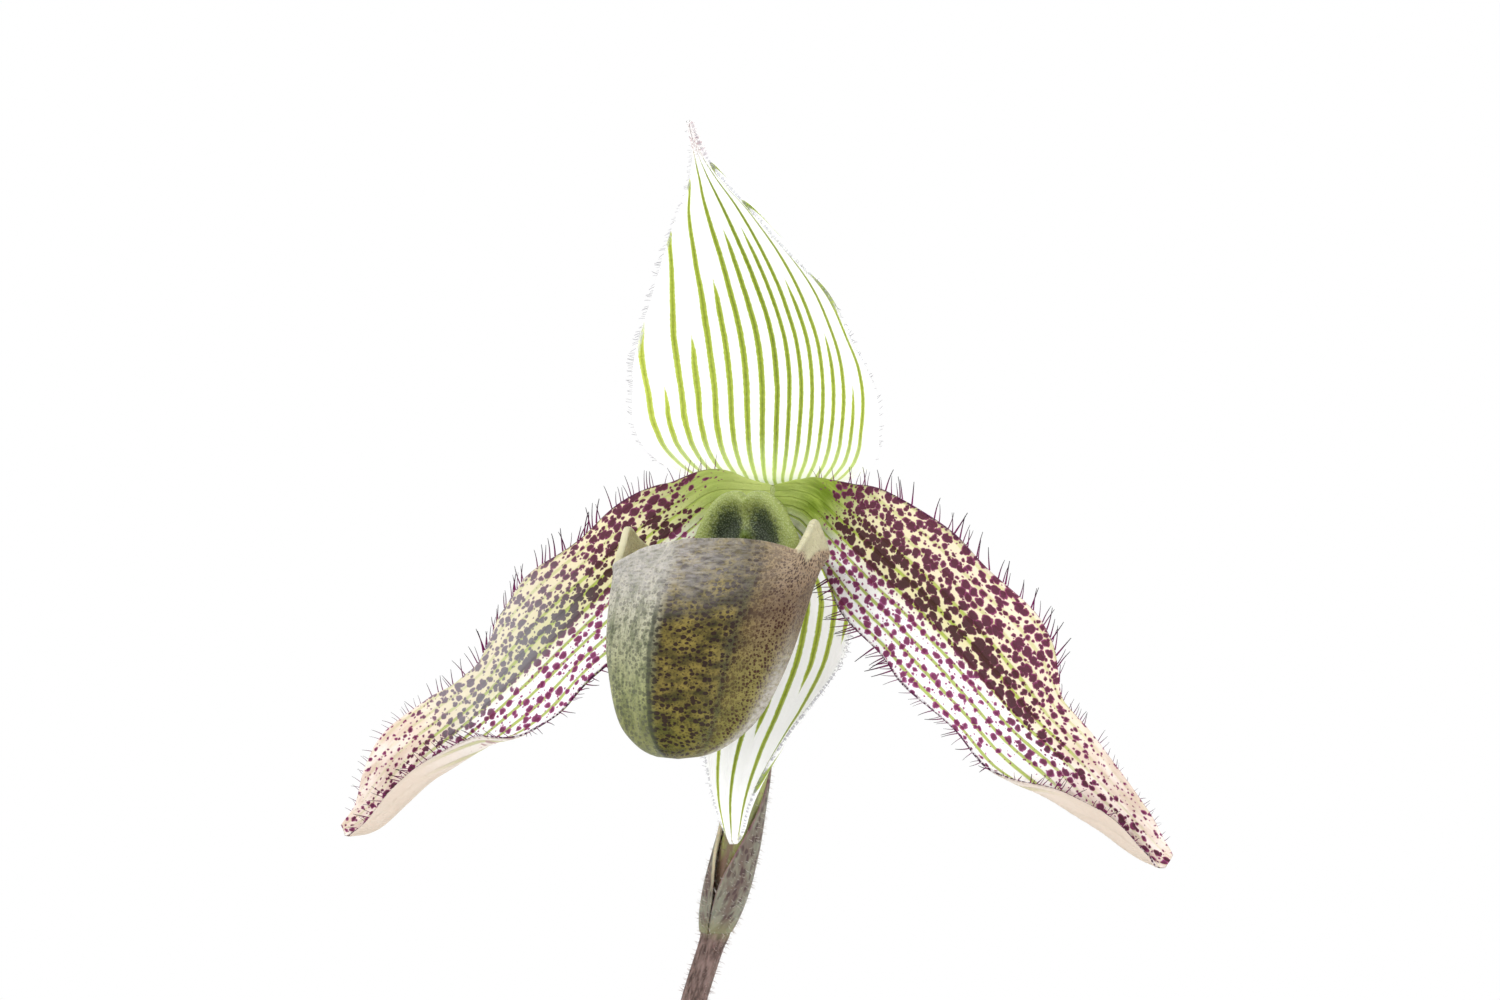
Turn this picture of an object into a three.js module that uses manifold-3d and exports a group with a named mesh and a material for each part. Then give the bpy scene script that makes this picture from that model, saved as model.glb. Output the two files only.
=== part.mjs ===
// Paphiopedilum wardii, a slipper orchid: one open bloom on a leaning scape above a fan of six
// leaves, growing in a clay pot filled with bark. Millimetres, +Z up, the bloom is seen from -Y.
// The origin is the middle of the pot's base.
import * as THREE from "three";
import { mergeVertices } from "three/addons/utils/BufferGeometryUtils.js";
import Module from "manifold-3d";

const wasm = await Module();
wasm.setup();

// Clearance left between pieces that touch.
const GAP = 0.3;
const SLOT_GAP = 0.55;

// Pot: radii and heights of its wall, floor and rim.
const POT_HEIGHT = 88;
const POT_FOOT_RADIUS = 35;
const POT_RIM_RADIUS = 52;
const POT_RIM_HEIGHT = 20;
const POT_WALL = 4.6;
const POT_FLOOR = 6;
const POT_SIDES = 40;
const DRAIN_RADIUS = 4.5;
const DRAIN_RING = 17;

// Bark mix: the height it is filled to and the chips that lie on it.
const MIX_TOP = 78;
const CHIP_COUNT = 27;
const CHIP_SEED = 11;

// Bloom: the point where its parts meet, and how far it faces to the left of -Y.
const BLOOM_CENTRE = [30, -8, 323];
const BLOOM_TURN = -28;

// Fan of leaves: its plane is turned from the XZ plane by this angle.
const FAN_TURN = 14;

const TINY = 1e-3;
const degrees = THREE.MathUtils.degToRad;
const vector = (p) => new THREE.Vector3(p[0], p[1], p[2]);

// A curve through points, measured by the length of its chords; it is given 0 to 1.
function curve(points) {
  const nodes = points.map(vector);
  const reach = [0];
  for (let i = 1; i < nodes.length; i++) {
    reach.push(reach[i - 1] + nodes[i].distanceTo(nodes[i - 1]));
  }
  const last = nodes.length - 1;
  const slope = nodes.map((_, i) => {
    const a = Math.max(i - 1, 0);
    const b = Math.min(i + 1, last);
    return nodes[b].clone().sub(nodes[a]).divideScalar(reach[b] - reach[a]);
  });
  return (s) => {
    const at = s * reach[last];
    let i = 0;
    while (i < last - 1 && at > reach[i + 1]) i++;
    const span = reach[i + 1] - reach[i];
    const u = (at - reach[i]) / span;
    const v = 1 - u;
    return nodes[i]
      .clone()
      .multiplyScalar(v * v * (1 + 2 * u))
      .addScaledVector(slope[i], span * u * v * v)
      .addScaledVector(nodes[i + 1], u * u * (1 + 2 * v))
      .addScaledVector(slope[i + 1], -span * u * u * v);
  };
}

// Values between rows of [position, value, ...], without overshooting a row.
function track(rows) {
  const steps = rows.slice(1).map((row, i) => {
    const span = row[0] - rows[i][0];
    return row.map((value, k) => (value - rows[i][k]) / span);
  });
  const slope = rows.map((row, i) =>
    row.map((_, k) => {
      if (i === 0) return steps[0][k];
      if (i === rows.length - 1) return steps[i - 1][k];
      const before = steps[i - 1][k];
      const after = steps[i][k];
      return before * after <= 0 ? 0 : (2 * before * after) / (before + after);
    }),
  );
  return (s) => {
    let i = 0;
    while (i < rows.length - 2 && s > rows[i + 1][0]) i++;
    const span = rows[i + 1][0] - rows[i][0];
    const u = (s - rows[i][0]) / span;
    const v = 1 - u;
    return rows[i]
      .map(
        (_, k) =>
          rows[i][k] * v * v * (1 + 2 * u) +
          slope[i][k] * span * u * v * v +
          rows[i + 1][k] * u * u * (1 + 2 * v) -
          slope[i + 1][k] * span * u * u * v,
      )
      .slice(1);
  };
}

// A closed body from points and triangles, turned so that its faces look out.
function geometryOf(points, faces) {
  let volume = 0;
  for (let i = 0; i < faces.length; i += 3) {
    volume += points[faces[i]].dot(points[faces[i + 1]].clone().cross(points[faces[i + 2]]));
  }
  if (volume < 0) faces.reverse();
  return new THREE.BufferGeometry()
    .setAttribute("position", new THREE.Float32BufferAttribute(points.flatMap((p) => [p.x, p.y, p.z]), 3))
    .setIndex(faces);
}

// A closed sheet with thickness: middle(s, t) is its middle surface, s from 0 to 1 and t from
// -1 to 1. Both faces are split into triangles alike, so a waved sheet never cuts itself.
function sheet({ middle, thickness, along, across }) {
  const [rows, columns] = [along, 2 * across];
  const [front, back] = [[], []];
  for (let i = 0; i <= rows; i++) {
    for (let j = 0; j <= columns; j++) {
      const [s, t] = [i / rows, j / across - 1];
      const at = middle(s, t);
      const alongStep = middle(Math.min(s + TINY, 1), t).sub(middle(Math.max(s - TINY, 0), t));
      const acrossStep = middle(s, Math.min(t + TINY, 1)).sub(middle(s, Math.max(t - TINY, -1)));
      const normal = alongStep.cross(acrossStep).normalize();
      const half = thickness(s, t) / 2;
      front.push(at.clone().addScaledVector(normal, half));
      back.push(at.clone().addScaledVector(normal, -half));
    }
  }
  const total = front.length;
  const upper = (i, j) => i * (columns + 1) + j;
  const lower = (i, j) => total + upper(i, j);
  const faces = [];
  const quad = (a, b, c, d) => faces.push(a, b, c, a, c, d);
  for (let i = 0; i < rows; i++) {
    for (let j = 0; j < columns; j++) {
      quad(upper(i, j), upper(i + 1, j), upper(i + 1, j + 1), upper(i, j + 1));
      const [a, b, c, d] = [lower(i, j), lower(i + 1, j), lower(i + 1, j + 1), lower(i, j + 1)];
      faces.push(a, c, b, a, d, c);
    }
    quad(upper(i + 1, 0), upper(i, 0), lower(i, 0), lower(i + 1, 0));
    quad(upper(i, columns), upper(i + 1, columns), lower(i + 1, columns), lower(i, columns));
  }
  for (let j = 0; j < columns; j++) {
    quad(upper(0, j), upper(0, j + 1), lower(0, j + 1), lower(0, j));
    quad(upper(rows, j + 1), upper(rows, j), lower(rows, j), lower(rows, j + 1));
  }
  return geometryOf([...front, ...back], faces);
}

// A leaf, petal or sepal. rib: points of its midrib. facing: the way its face looks. towards: the
// side on which its second half lies. widths: rows of [place, first half, second half]. bends: rows
// of [place, fold, fold, curl, curl, roll, roll], degrees by which each half turns to the face near
// the rib, all the way across and at the margin. tuck: rows of [place, degrees, share], a strip of
// the first half folded over the face, and where it folds. wave: [height, count, turn] of the margins.
function blade(form) {
  const rib = curve(form.rib);
  const widths = track(form.widths);
  const bends = track(form.bends);
  const tucks = track(form.tuck ?? [[0, 0, 0.6], [1, 0, 0.6]]);
  const [waveHeight, waveCount, waveTurn] = form.wave ?? [0, 1, 0];
  const grow = form.grow ?? 0;
  const side = (T, N) => {
    const L = T.clone().cross(N);
    return L.dot(vector(form.towards)) < 0 ? L.negate() : L;
  };
  const middle = (s, t) => {
    const T = rib(Math.min(s + 0.01, 1)).sub(rib(Math.max(s - 0.01, 0))).normalize();
    const facing = vector(form.facing);
    const N = facing.addScaledVector(T, -facing.dot(T)).normalize();
    const L = side(T, N);
    const half = t < 0 ? 0 : 1;
    const reach = Math.abs(t);
    const width = widths(s)[half] + grow;
    const bend = bends(s);
    const [tuck, crease] = tucks(s);
    const parts = 16;
    let [out, rise] = [0, 0];
    for (let k = 0; k < parts; k++) {
      const r = (reach * (k + 0.5)) / parts;
      const fold = bend[half] * (1 - (1 - r) ** 4);
      const curl = bend[half + 2] * r * r;
      const roll = bend[half + 4] * r ** 6;
      const over = t < 0 ? tuck * THREE.MathUtils.smoothstep(r, crease - 0.14, crease + 0.14) : 0;
      const angle = degrees(fold + curl + roll + over);
      out += (Math.cos(angle) * width * reach) / parts;
      rise += (Math.sin(angle) * width * reach) / parts;
    }
    const ripple = Math.sin(s * waveCount * 2 * Math.PI + waveTurn + half);
    rise += waveHeight * reach ** 3 * ripple * Math.sin(Math.PI * s);
    return rib(s).addScaledVector(L, Math.sign(t) * out).addScaledVector(N, rise);
  };
  const [ribThick, edgeThick] = form.thick;
  return sheet({
    middle,
    thickness: (s, t) => edgeThick + (ribThick - edgeThick) * (1 - Math.abs(t)) ** 2 + 2 * grow,
    along: form.along,
    across: form.across,
  });
}

// A closed loft through rings of points that share a count, each end closed on its middle point.
function loft(rings, start, end) {
  const count = rings[0].length;
  const points = [start, ...rings.flat(), end];
  const at = (i, j) => 1 + i * count + (j % count);
  const faces = [];
  for (let j = 0; j < count; j++) {
    faces.push(0, at(0, j + 1), at(0, j));
    for (let i = 0; i < rings.length - 1; i++) {
      faces.push(at(i, j), at(i, j + 1), at(i + 1, j + 1), at(i, j), at(i + 1, j + 1), at(i + 1, j));
    }
    faces.push(points.length - 1, at(rings.length - 1, j), at(rings.length - 1, j + 1));
  }
  return geometryOf(points, faces);
}

// A stalk along a curve. radii: rows of [place, radius, height of its three ribs].
function stalk({ path, radii, along, around, turn = 0 }) {
  const line = curve(path);
  const size = track(radii);
  const rings = [];
  for (let i = 0; i <= along; i++) {
    const s = i / along;
    const T = line(Math.min(s + 0.01, 1)).sub(line(Math.max(s - 0.01, 0))).normalize();
    const side = new THREE.Vector3(1, 0, 0).addScaledVector(T, -T.x).normalize();
    const other = T.clone().cross(side);
    const [radius, ribHeight] = size(s);
    const ring = [];
    for (let j = 0; j < around; j++) {
      const angle = (j / around) * 2 * Math.PI;
      const r = radius + ribHeight * Math.cos(3 * (angle + degrees(turn)));
      const point = line(s).addScaledVector(side, r * Math.cos(angle));
      ring.push(point.addScaledVector(other, r * Math.sin(angle)));
    }
    rings.push(ring);
  }
  return loft(rings, line(0), line(1));
}

function solid(geometry) {
  const bare = geometry.clone();
  bare.deleteAttribute("normal");
  bare.deleteAttribute("uv");
  const joined = mergeVertices(bare, TINY);
  return new wasm.Manifold(
    new wasm.Mesh({
      numProp: 3,
      vertProperties: joined.attributes.position.array,
      triVerts: new Uint32Array(joined.index.array),
    }),
  );
}

function geometryFrom(body) {
  const mesh = body.getMesh();
  return new THREE.BufferGeometry()
    .setAttribute("position", new THREE.BufferAttribute(new Float32Array(mesh.vertProperties), 3))
    .setIndex(Array.from(mesh.triVerts));
}

// The largest body alone: hollows that fusing sealed are filled and loose scrap is dropped.
const largest = (body) => body.decompose().sort((a, b) => b.volume() - a.volume())[0];

// Repeatable random numbers from 0 to 1.
function seeded(seed) {
  let state = seed;
  return () => {
    state = (state + 0x6d2b79f5) | 0;
    let mixed = Math.imul(state ^ (state >>> 15), 1 | state);
    mixed = (mixed + Math.imul(mixed ^ (mixed >>> 7), 61 | mixed)) ^ mixed;
    return ((mixed ^ (mixed >>> 14)) >>> 0) / 4294967296;
  };
}

const plant = new THREE.Group();

function piece(name, geometry, color, roughness) {
  const mesh = new THREE.Mesh(geometry, new THREE.MeshStandardMaterial({ color, roughness, metalness: 0 }));
  mesh.name = name;
  plant.add(mesh);
}

// Colours of the pieces.
const CLAY = 0xb5714c;
const BARK = 0x6b4630;
const LEAF_GREEN = 0x5c7d42;
const STALK_PURPLE = 0x6e4a48;
const OVARY_GREEN = 0x86943f;
const BRACT_GREEN = 0x9aa07c;
const SEPAL_GREEN = 0xb9cf7c;
const PETAL_ROSE = 0xbd7f92;
const LIP_OLIVE = 0xa79a4e;
const COLUMN_GREEN = 0xa9bf5e;

// Pot: a turned wall that leans outwards, a taller rim band and four drain holes in the floor.
const bandFoot = POT_HEIGHT - POT_RIM_HEIGHT;
const bodyTop = POT_RIM_RADIUS - 4.5;
const mouth = POT_RIM_RADIUS - POT_WALL - 1;
const innerFoot = POT_FOOT_RADIUS - POT_WALL + 1;
const potProfile = [
  [0, 0],
  [POT_FOOT_RADIUS - 1.2, 0],
  [POT_FOOT_RADIUS, 1.2],
  [bodyTop, bandFoot],
  [POT_RIM_RADIUS - 1.8, bandFoot],
  [POT_RIM_RADIUS - 0.8, bandFoot + 1],
  [POT_RIM_RADIUS, POT_HEIGHT - 2],
  [POT_RIM_RADIUS - 1, POT_HEIGHT - 0.4],
  [POT_RIM_RADIUS - 2.8, POT_HEIGHT],
  [mouth + 0.8, POT_HEIGHT - 0.5],
  [mouth, POT_HEIGHT - 2],
  [innerFoot + 1.5, POT_FLOOR + 1],
  [innerFoot - 1, POT_FLOOR],
  [0, POT_FLOOR],
].map(([r, z]) => new THREE.Vector2(r, z));
const turned = (profile) => new THREE.LatheGeometry(profile, POT_SIDES).rotateX(Math.PI / 2);
let pot = solid(turned(potProfile));
for (let i = 0; i < 4; i++) {
  const angle = degrees(45 + 90 * i);
  const drain = new THREE.CylinderGeometry(DRAIN_RADIUS, DRAIN_RADIUS, 3 * POT_FLOOR, 16);
  drain.rotateX(Math.PI / 2);
  drain.translate(DRAIN_RING * Math.cos(angle), DRAIN_RING * Math.sin(angle), POT_FLOOR / 2);
  pot = pot.subtract(solid(drain));
}
piece("pot", geometryFrom(pot), CLAY, 0.85);

// Leaves: two rows that leave the crown to the right (1) and left (-1). Each rib is given outwards
// from the crown and upwards, with a drift to the side; older leaves are lower and longer.
const leafForms = [
  {
    name: "leaf_1",
    out: 1,
    width: 22,
    rib: [
      [12, 0, 70],
      [13, 0, 84],
      [20, 0, 102],
      [44, 1, 120],
      [82, 5, 124],
      [116, 11, 106],
      [134, 15, 84],
    ],
  },
  {
    name: "leaf_2",
    out: -1,
    width: 23,
    rib: [
      [12.4, 0, 70],
      [13.6, 0, 84],
      [21, -1, 104],
      [46, -3, 126],
      [84, -8, 134],
      [118, -15, 118],
      [138, -20, 94],
    ],
  },
  {
    name: "leaf_3",
    out: 1,
    width: 21,
    rib: [
      [8.2, 0, 71],
      [9, 0, 86],
      [14.5, 0, 110],
      [36, -3, 142],
      [70, -9, 160],
      [104, -16, 156],
      [122, -20, 144],
    ],
  },
  {
    name: "leaf_4",
    out: -1,
    width: 21,
    rib: [
      [8.6, 0, 71],
      [9.4, 0, 86],
      [14.5, 1, 112],
      [34, 5, 148],
      [64, 11, 170],
      [94, 18, 170],
      [112, 22, 160],
    ],
  },
  {
    name: "leaf_5",
    out: 1,
    width: 17,
    rib: [
      [4.6, 0, 72],
      [5.2, 0, 86],
      [9, 1, 112],
      [22, 5, 146],
      [44, 12, 172],
      [66, 19, 182],
      [78, 23, 182],
    ],
  },
  {
    name: "leaf_6",
    out: -1,
    width: 14,
    rib: [
      [5, 0, 72],
      [5.5, 0, 86],
      [8, 0, 108],
      [16, -2, 138],
      [28, -5, 160],
      [42, -9, 171],
      [50, -11, 173],
    ],
  },
];
const LEAF_WIDTHS = [
  [0, 0.25],
  [0.12, 0.28],
  [0.25, 0.5],
  [0.4, 0.82],
  [0.6, 1],
  [0.78, 0.9],
  [0.9, 0.58],
  [0.97, 0.26],
  [1, 0.06],
];
function leafForm({ out, width, rib }, grow) {
  const base = Math.min(1, width / 20);
  const halfWidth = (s, share) => share * width * (s < 0.2 ? base : 1);
  return {
    rib: rib.map(([x, y, z], i) => [out * x, y, i === 0 ? z - grow : z]),
    facing: [-0.6 * out, 0, 1],
    towards: [0, 1, 0],
    widths: LEAF_WIDTHS.map(([s, share]) => [s, halfWidth(s, share), halfWidth(s, share)]),
    bends: [
      [0, 48, 48, 4, 4, 0, 0],
      [0.15, 46, 46, 4, 4, 0, 0],
      [0.3, 36, 36, -5, -5, 0, 0],
      [0.55, 24, 24, -12, -12, 0, 0],
      [1, 14, 14, -8, -8, 0, 0],
    ],
    wave: [1.2, 2.6, width],
    thick: [1.7, 0.9],
    along: 14,
    across: 4,
    grow,
  };
}
const fanTurn = new THREE.Matrix4().makeRotationZ(degrees(FAN_TURN));
for (const form of leafForms) {
  piece(form.name, blade(leafForm(form, 0)).applyMatrix4(fanTurn), LEAF_GREEN, 0.5);
}

// Scape: from the middle of the fan up to the node under the ovary, leaning to the right.
const SCAPE_FOOT = [0, 0.4, 70];
const SCAPE_TOP = [24.4, 12, 269.6];
const SCAPE_PATH = [
  SCAPE_FOOT,
  [0.6, 1, 100],
  [4.2, 4, 150],
  [9.8, 8, 200],
  [16.4, 11, 240],
  [21.4, 12, 260],
  SCAPE_TOP,
];
const scapeRadii = [
  [0, 1.95, 0],
  [0.9, 1.55, 0],
  [0.97, 1.65, 0],
  [1, 2, 0],
];
piece("scape", stalk({ path: SCAPE_PATH, radii: scapeRadii, along: 22, around: 10 }), STALK_PURPLE, 0.7);

// Bark mix: a plug that fills the pot, its top covered with loose chips, with a plain slot for each
// leaf base and a plain hole for the scape.
const wallSlope = (mouth - innerFoot - 1.5) / (POT_HEIGHT - 2 - POT_FLOOR - 1);
const innerRadius = (z) => innerFoot + 1.5 + (z - POT_FLOOR - 1) * wallSlope;
const mixProfile = [
  [0, POT_FLOOR + GAP],
  [innerFoot - 1.2 - GAP, POT_FLOOR + GAP],
  [innerRadius(POT_FLOOR + 1.5) - 2 * GAP, POT_FLOOR + 1.5],
  [innerRadius(MIX_TOP - 2) - 1.3 * GAP, MIX_TOP - 2],
  [innerRadius(MIX_TOP) - 2, MIX_TOP - 0.6],
  [26, MIX_TOP + 0.8],
  [0, MIX_TOP + 2],
].map(([r, z]) => new THREE.Vector2(r, z));
let mix = solid(turned(mixProfile));
const random = seeded(CHIP_SEED);
for (let i = 0; i < CHIP_COUNT; i++) {
  const ring = Math.sqrt((i + 0.6) / CHIP_COUNT);
  const place = i * 2.39996 + random();
  const chip = new THREE.BoxGeometry(10 + 6 * random(), 7 + 3 * random(), 4 + 2.5 * random());
  const corners = chip.attributes.position;
  for (let k = 0; k < corners.count; k++) {
    const lean = 1 - 0.16 * Math.sign(corners.getZ(k)) * Math.sign(corners.getX(k) + 0.5 * corners.getY(k));
    corners.setXY(k, corners.getX(k) * lean, corners.getY(k) * (1.7 - lean));
  }
  chip.rotateX((random() - 0.5) * 0.7);
  chip.rotateY((random() - 0.5) * 0.7);
  chip.rotateZ(random() * 2 * Math.PI);
  const out = 5 + 30.5 * ring;
  chip.translate(out * Math.cos(place), out * Math.sin(place), MIX_TOP + 1.6 - ring * 1.2 + random());
  mix = mix.add(solid(chip));
}
for (const form of leafForms) {
  mix = mix.subtract(solid(blade(leafForm(form, SLOT_GAP)).applyMatrix4(fanTurn)));
}
const scapeHole = new THREE.CylinderGeometry(2.3, 2.3, 40, 12).rotateX(Math.PI / 2);
scapeHole.translate(SCAPE_FOOT[0], SCAPE_FOOT[1], SCAPE_FOOT[2] - GAP + 20);
mix = mix.subtract(solid(scapeHole));
piece("potting_mix", geometryFrom(largest(mix)), BARK, 0.95);

// Ovary: from the node up behind the bloom, where it turns forward to meet it.
const OVARY_PATH = [
  [24.5, 12, 270],
  [26.2, 12.2, 276.7],
  [27.7, 11.8, 283.3],
  [29.2, 10.2, 294],
  [30.8, 7, 307],
  [32, 2.8, 316.6],
  [33, -2, 321.2],
];
const ovaryRadii = [
  [0, 1.15, 0],
  [0.12, 1.3, 0.1],
  [0.3, 1.7, 0.2],
  [0.5, 2, 0.28],
  [0.8, 2.1, 0.3],
  [0.93, 1.9, 0.1],
  [1, 2.2, 0],
];
piece("ovary", stalk({ path: OVARY_PATH, radii: ovaryRadii, along: 18, around: 12 }), OVARY_GREEN, 0.6);

// Bract: a sheath round the foot of the ovary, pointed at the back; its right edge crosses the
// front from the foot upwards. rows of [place, radius, degrees of the right and of the left edge].
const BRACT_LENGTH = 0.44;
const bractRows = track([
  [0, 1.95, -118, 236],
  [0.2, 2.15, -100, 235],
  [0.4, 2.55, -70, 232],
  [0.6, 2.9, -40, 224],
  [0.8, 3.1, 0, 192],
  [0.95, 3.2, 50, 140],
  [1, 3.2, 84, 106],
]);
const ovaryLine = curve(OVARY_PATH);
const bract = sheet({
  middle: (s, t) => {
    const [radius, right, left] = bractRows(s);
    const angle = degrees(right + ((left - right) * (t + 1)) / 2);
    const middle = ovaryLine(BRACT_LENGTH * (0.02 + 0.98 * s));
    return middle.add(vector([radius * Math.cos(angle), radius * Math.sin(angle), 0]));
  },
  thickness: () => 0.7,
  along: 9,
  across: 6,
});
piece("bract", bract, BRACT_GREEN, 0.7);

// The bloom is made facing -Y: x to its right, y = -forward, z up from its centre.
const bloomPlace = new THREE.Matrix4()
  .makeTranslation(...BLOOM_CENTRE)
  .multiply(new THREE.Matrix4().makeRotationZ(degrees(BLOOM_TURN)));
const bloomPiece = (name, geometry, color, roughness) =>
  piece(name, geometry.applyMatrix4(bloomPlace), color, roughness);
const forward = (points) => points.map(([right, ahead, up]) => [right, -ahead, up]);
const FRONT = [0, -1, 0];

// Dorsal sepal: broad, both halves cupped forward, its pointed tip leaning over the bloom.
const dorsal = {
  rib: forward([
    [0, -3.4, 1.4],
    [0, -4, 7.7],
    [0, -4.2, 13],
    [0, -3, 18],
    [0, -0.2, 22.6],
    [0, 4, 27.6],
    [0, 9, 32.6],
    [0, 13.5, 36.7],
    [0.2, 17, 40.2],
    [0.3, 18.6, 42.4],
  ]),
  facing: FRONT,
  towards: [1, 0, 0],
  widths: [
    [0, 12, 10.6],
    [0.04, 15.6, 13.4],
    [0.09, 17.6, 14.9],
    [0.16, 18.4, 15.4],
    [0.25, 18.3, 15],
    [0.36, 17, 14.2],
    [0.5, 13.7, 12.7],
    [0.62, 10.2, 10.8],
    [0.75, 6, 7.6],
    [0.85, 2.3, 3.4],
    [0.93, 0.8, 1],
    [1, 0.4, 0.4],
  ],
  bends: [
    [0, -3, -3, 0, 0, 0, 0],
    [0.1, 8, 8, 12, 12, 0, 0],
    [0.25, 12, 12, 20, 22, 0, 0],
    [0.6, 14, 16, 26, 30, 0, 6],
    [0.85, 26, 28, 30, 30, 0, 6],
    [1, 30, 30, 20, 20, 0, 0],
  ],
  wave: [0.5, 3, 0.4],
  thick: [1.1, 0.7],
  along: 18,
  across: 6,
};
bloomPiece("dorsal_sepal", blade(dorsal), SEPAL_GREEN, 0.55);

// Synsepal: behind the pouch, boat shaped, its margins rolled forward towards the tip.
const synsepal = {
  rib: forward([
    [0, -4.2, -4.4],
    [0, -4.6, -9],
    [0, -4, -14],
    [-0.1, -1.6, -20],
    [-0.4, 2, -26],
    [-0.6, 5, -31],
    [-0.6, 6.6, -36],
    [-0.4, 6.6, -41.4],
  ]),
  facing: FRONT,
  towards: [1, 0, 0],
  widths: [
    [0, 2.6, 2.6],
    [0.1, 7, 7.4],
    [0.25, 11, 11.4],
    [0.4, 11.6, 11.8],
    [0.55, 9.4, 10.8],
    [0.7, 6.4, 8.6],
    [0.83, 4.2, 6],
    [0.94, 2, 3],
    [1, 0.7, 0.7],
  ],
  bends: [
    [0, 5, 5, 0, 0, 0, 0],
    [0.4, 8, 8, 22, 22, 0, 0],
    [0.7, 12, 12, 24, 30, 30, 30],
    [0.9, 16, 16, 20, 30, 50, 50],
    [1, 10, 10, 0, 0, 0, 0],
  ],
  thick: [1, 0.7],
  along: 14,
  across: 5,
};
bloomPiece("synsepal", blade(synsepal), SEPAL_GREEN, 0.55);

// Petals: strap shaped, reaching down and out, a strip of the lower margin folded up over the face
// near the tip and the upper margin notched at two thirds of the length.
const petalRight = {
  rib: forward([
    [2.9, -2.6, -0.9],
    [5.5, -1.6, -1.7],
    [9.2, -0.1, -4.4],
    [17.1, 3, -9.7],
    [22.9, 4.4, -13.9],
    [27.8, 5.3, -18],
    [32.2, 5.5, -22.3],
    [36.6, 5.5, -26.6],
    [41.3, 5.5, -30.3],
    [46, 5.8, -34.4],
    [50.1, 6, -38],
    [52.5, 6, -40.2],
    [54.6, 6, -41.6],
  ]),
  facing: FRONT,
  towards: [0, 0, 1],
  widths: [
    [0, 2.6, 2.2],
    [0.04, 3.4, 3.4],
    [0.09, 3.8, 5.4],
    [0.17, 5, 7.7],
    [0.25, 6.6, 8.7],
    [0.33, 7.3, 9.1],
    [0.42, 7.5, 9.3],
    [0.5, 7.2, 9.4],
    [0.58, 7, 8.8],
    [0.64, 7, 7.2],
    [0.69, 6.8, 5.2],
    [0.76, 6.4, 4.4],
    [0.84, 5.8, 4],
    [0.92, 4.6, 2.9],
    [0.97, 2.8, 1.8],
    [1, 0.9, 0.9],
  ],
  bends: [
    [0, 0, 0, 10, 10, 0, 0],
    [0.3, 4, -4, 8, -14, 0, 0],
    [0.6, 4, -4, 10, -10, 10, 0],
    [0.72, 6, 0, 10, 10, 0, 10],
    [0.9, 8, 6, 8, 10, 0, 0],
    [1, 8, 6, 10, 10, 0, 0],
  ],
  tuck: [
    [0, 0, 0.9],
    [0.5, 0, 0.95],
    [0.62, 60, 0.95],
    [0.7, 130, 0.86],
    [0.8, 150, 0.66],
    [0.9, 150, 0.5],
    [0.97, 120, 0.5],
    [1, 0, 0.6],
  ],
  wave: [0.9, 4.5, 1.2],
  thick: [0.9, 0.65],
  along: 24,
  across: 7,
};
bloomPiece("petal_right", blade(petalRight), PETAL_ROSE, 0.5);

const petalLeft = {
  ...petalRight,
  rib: forward([
    [-2.9, -2.6, -0.9],
    [-6.9, -1.6, -1.3],
    [-9.8, 0, -3.6],
    [-13.9, 2.4, -7.3],
    [-19.2, 3.8, -12.2],
    [-24.9, 4.8, -17.4],
    [-30.2, 5.5, -22.4],
    [-35.2, 5.5, -26.5],
    [-39.8, 5.5, -29.9],
    [-44, 5.7, -32.9],
    [-47.2, 6, -36.1],
    [-50.8, 6, -39.6],
    [-54.8, 6, -41.5],
  ]),
  widths: [
    [0, 2.2, 2.2],
    [0.04, 2.6, 3.4],
    [0.09, 3.1, 5],
    [0.17, 5, 7],
    [0.25, 6.3, 7.8],
    [0.33, 7.2, 8],
    [0.42, 7.4, 8],
    [0.5, 7.3, 6.9],
    [0.58, 6.8, 5],
    [0.665, 6.2, 4.8],
    [0.74, 5.8, 4.6],
    [0.82, 5.4, 4],
    [0.9, 4.4, 2.6],
    [0.96, 2.4, 1.6],
    [1, 0.7, 0.7],
  ],
  tuck: [
    [0, 0, 0.9],
    [0.48, 0, 0.95],
    [0.58, 60, 0.92],
    [0.66, 130, 0.66],
    [0.78, 150, 0.55],
    [0.9, 150, 0.52],
    [0.97, 100, 0.55],
    [1, 0, 0.6],
  ],
  wave: [0.9, 4.5, 2],
};
bloomPiece("petal_left", blade(petalLeft), PETAL_ROSE, 0.5);

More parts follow.
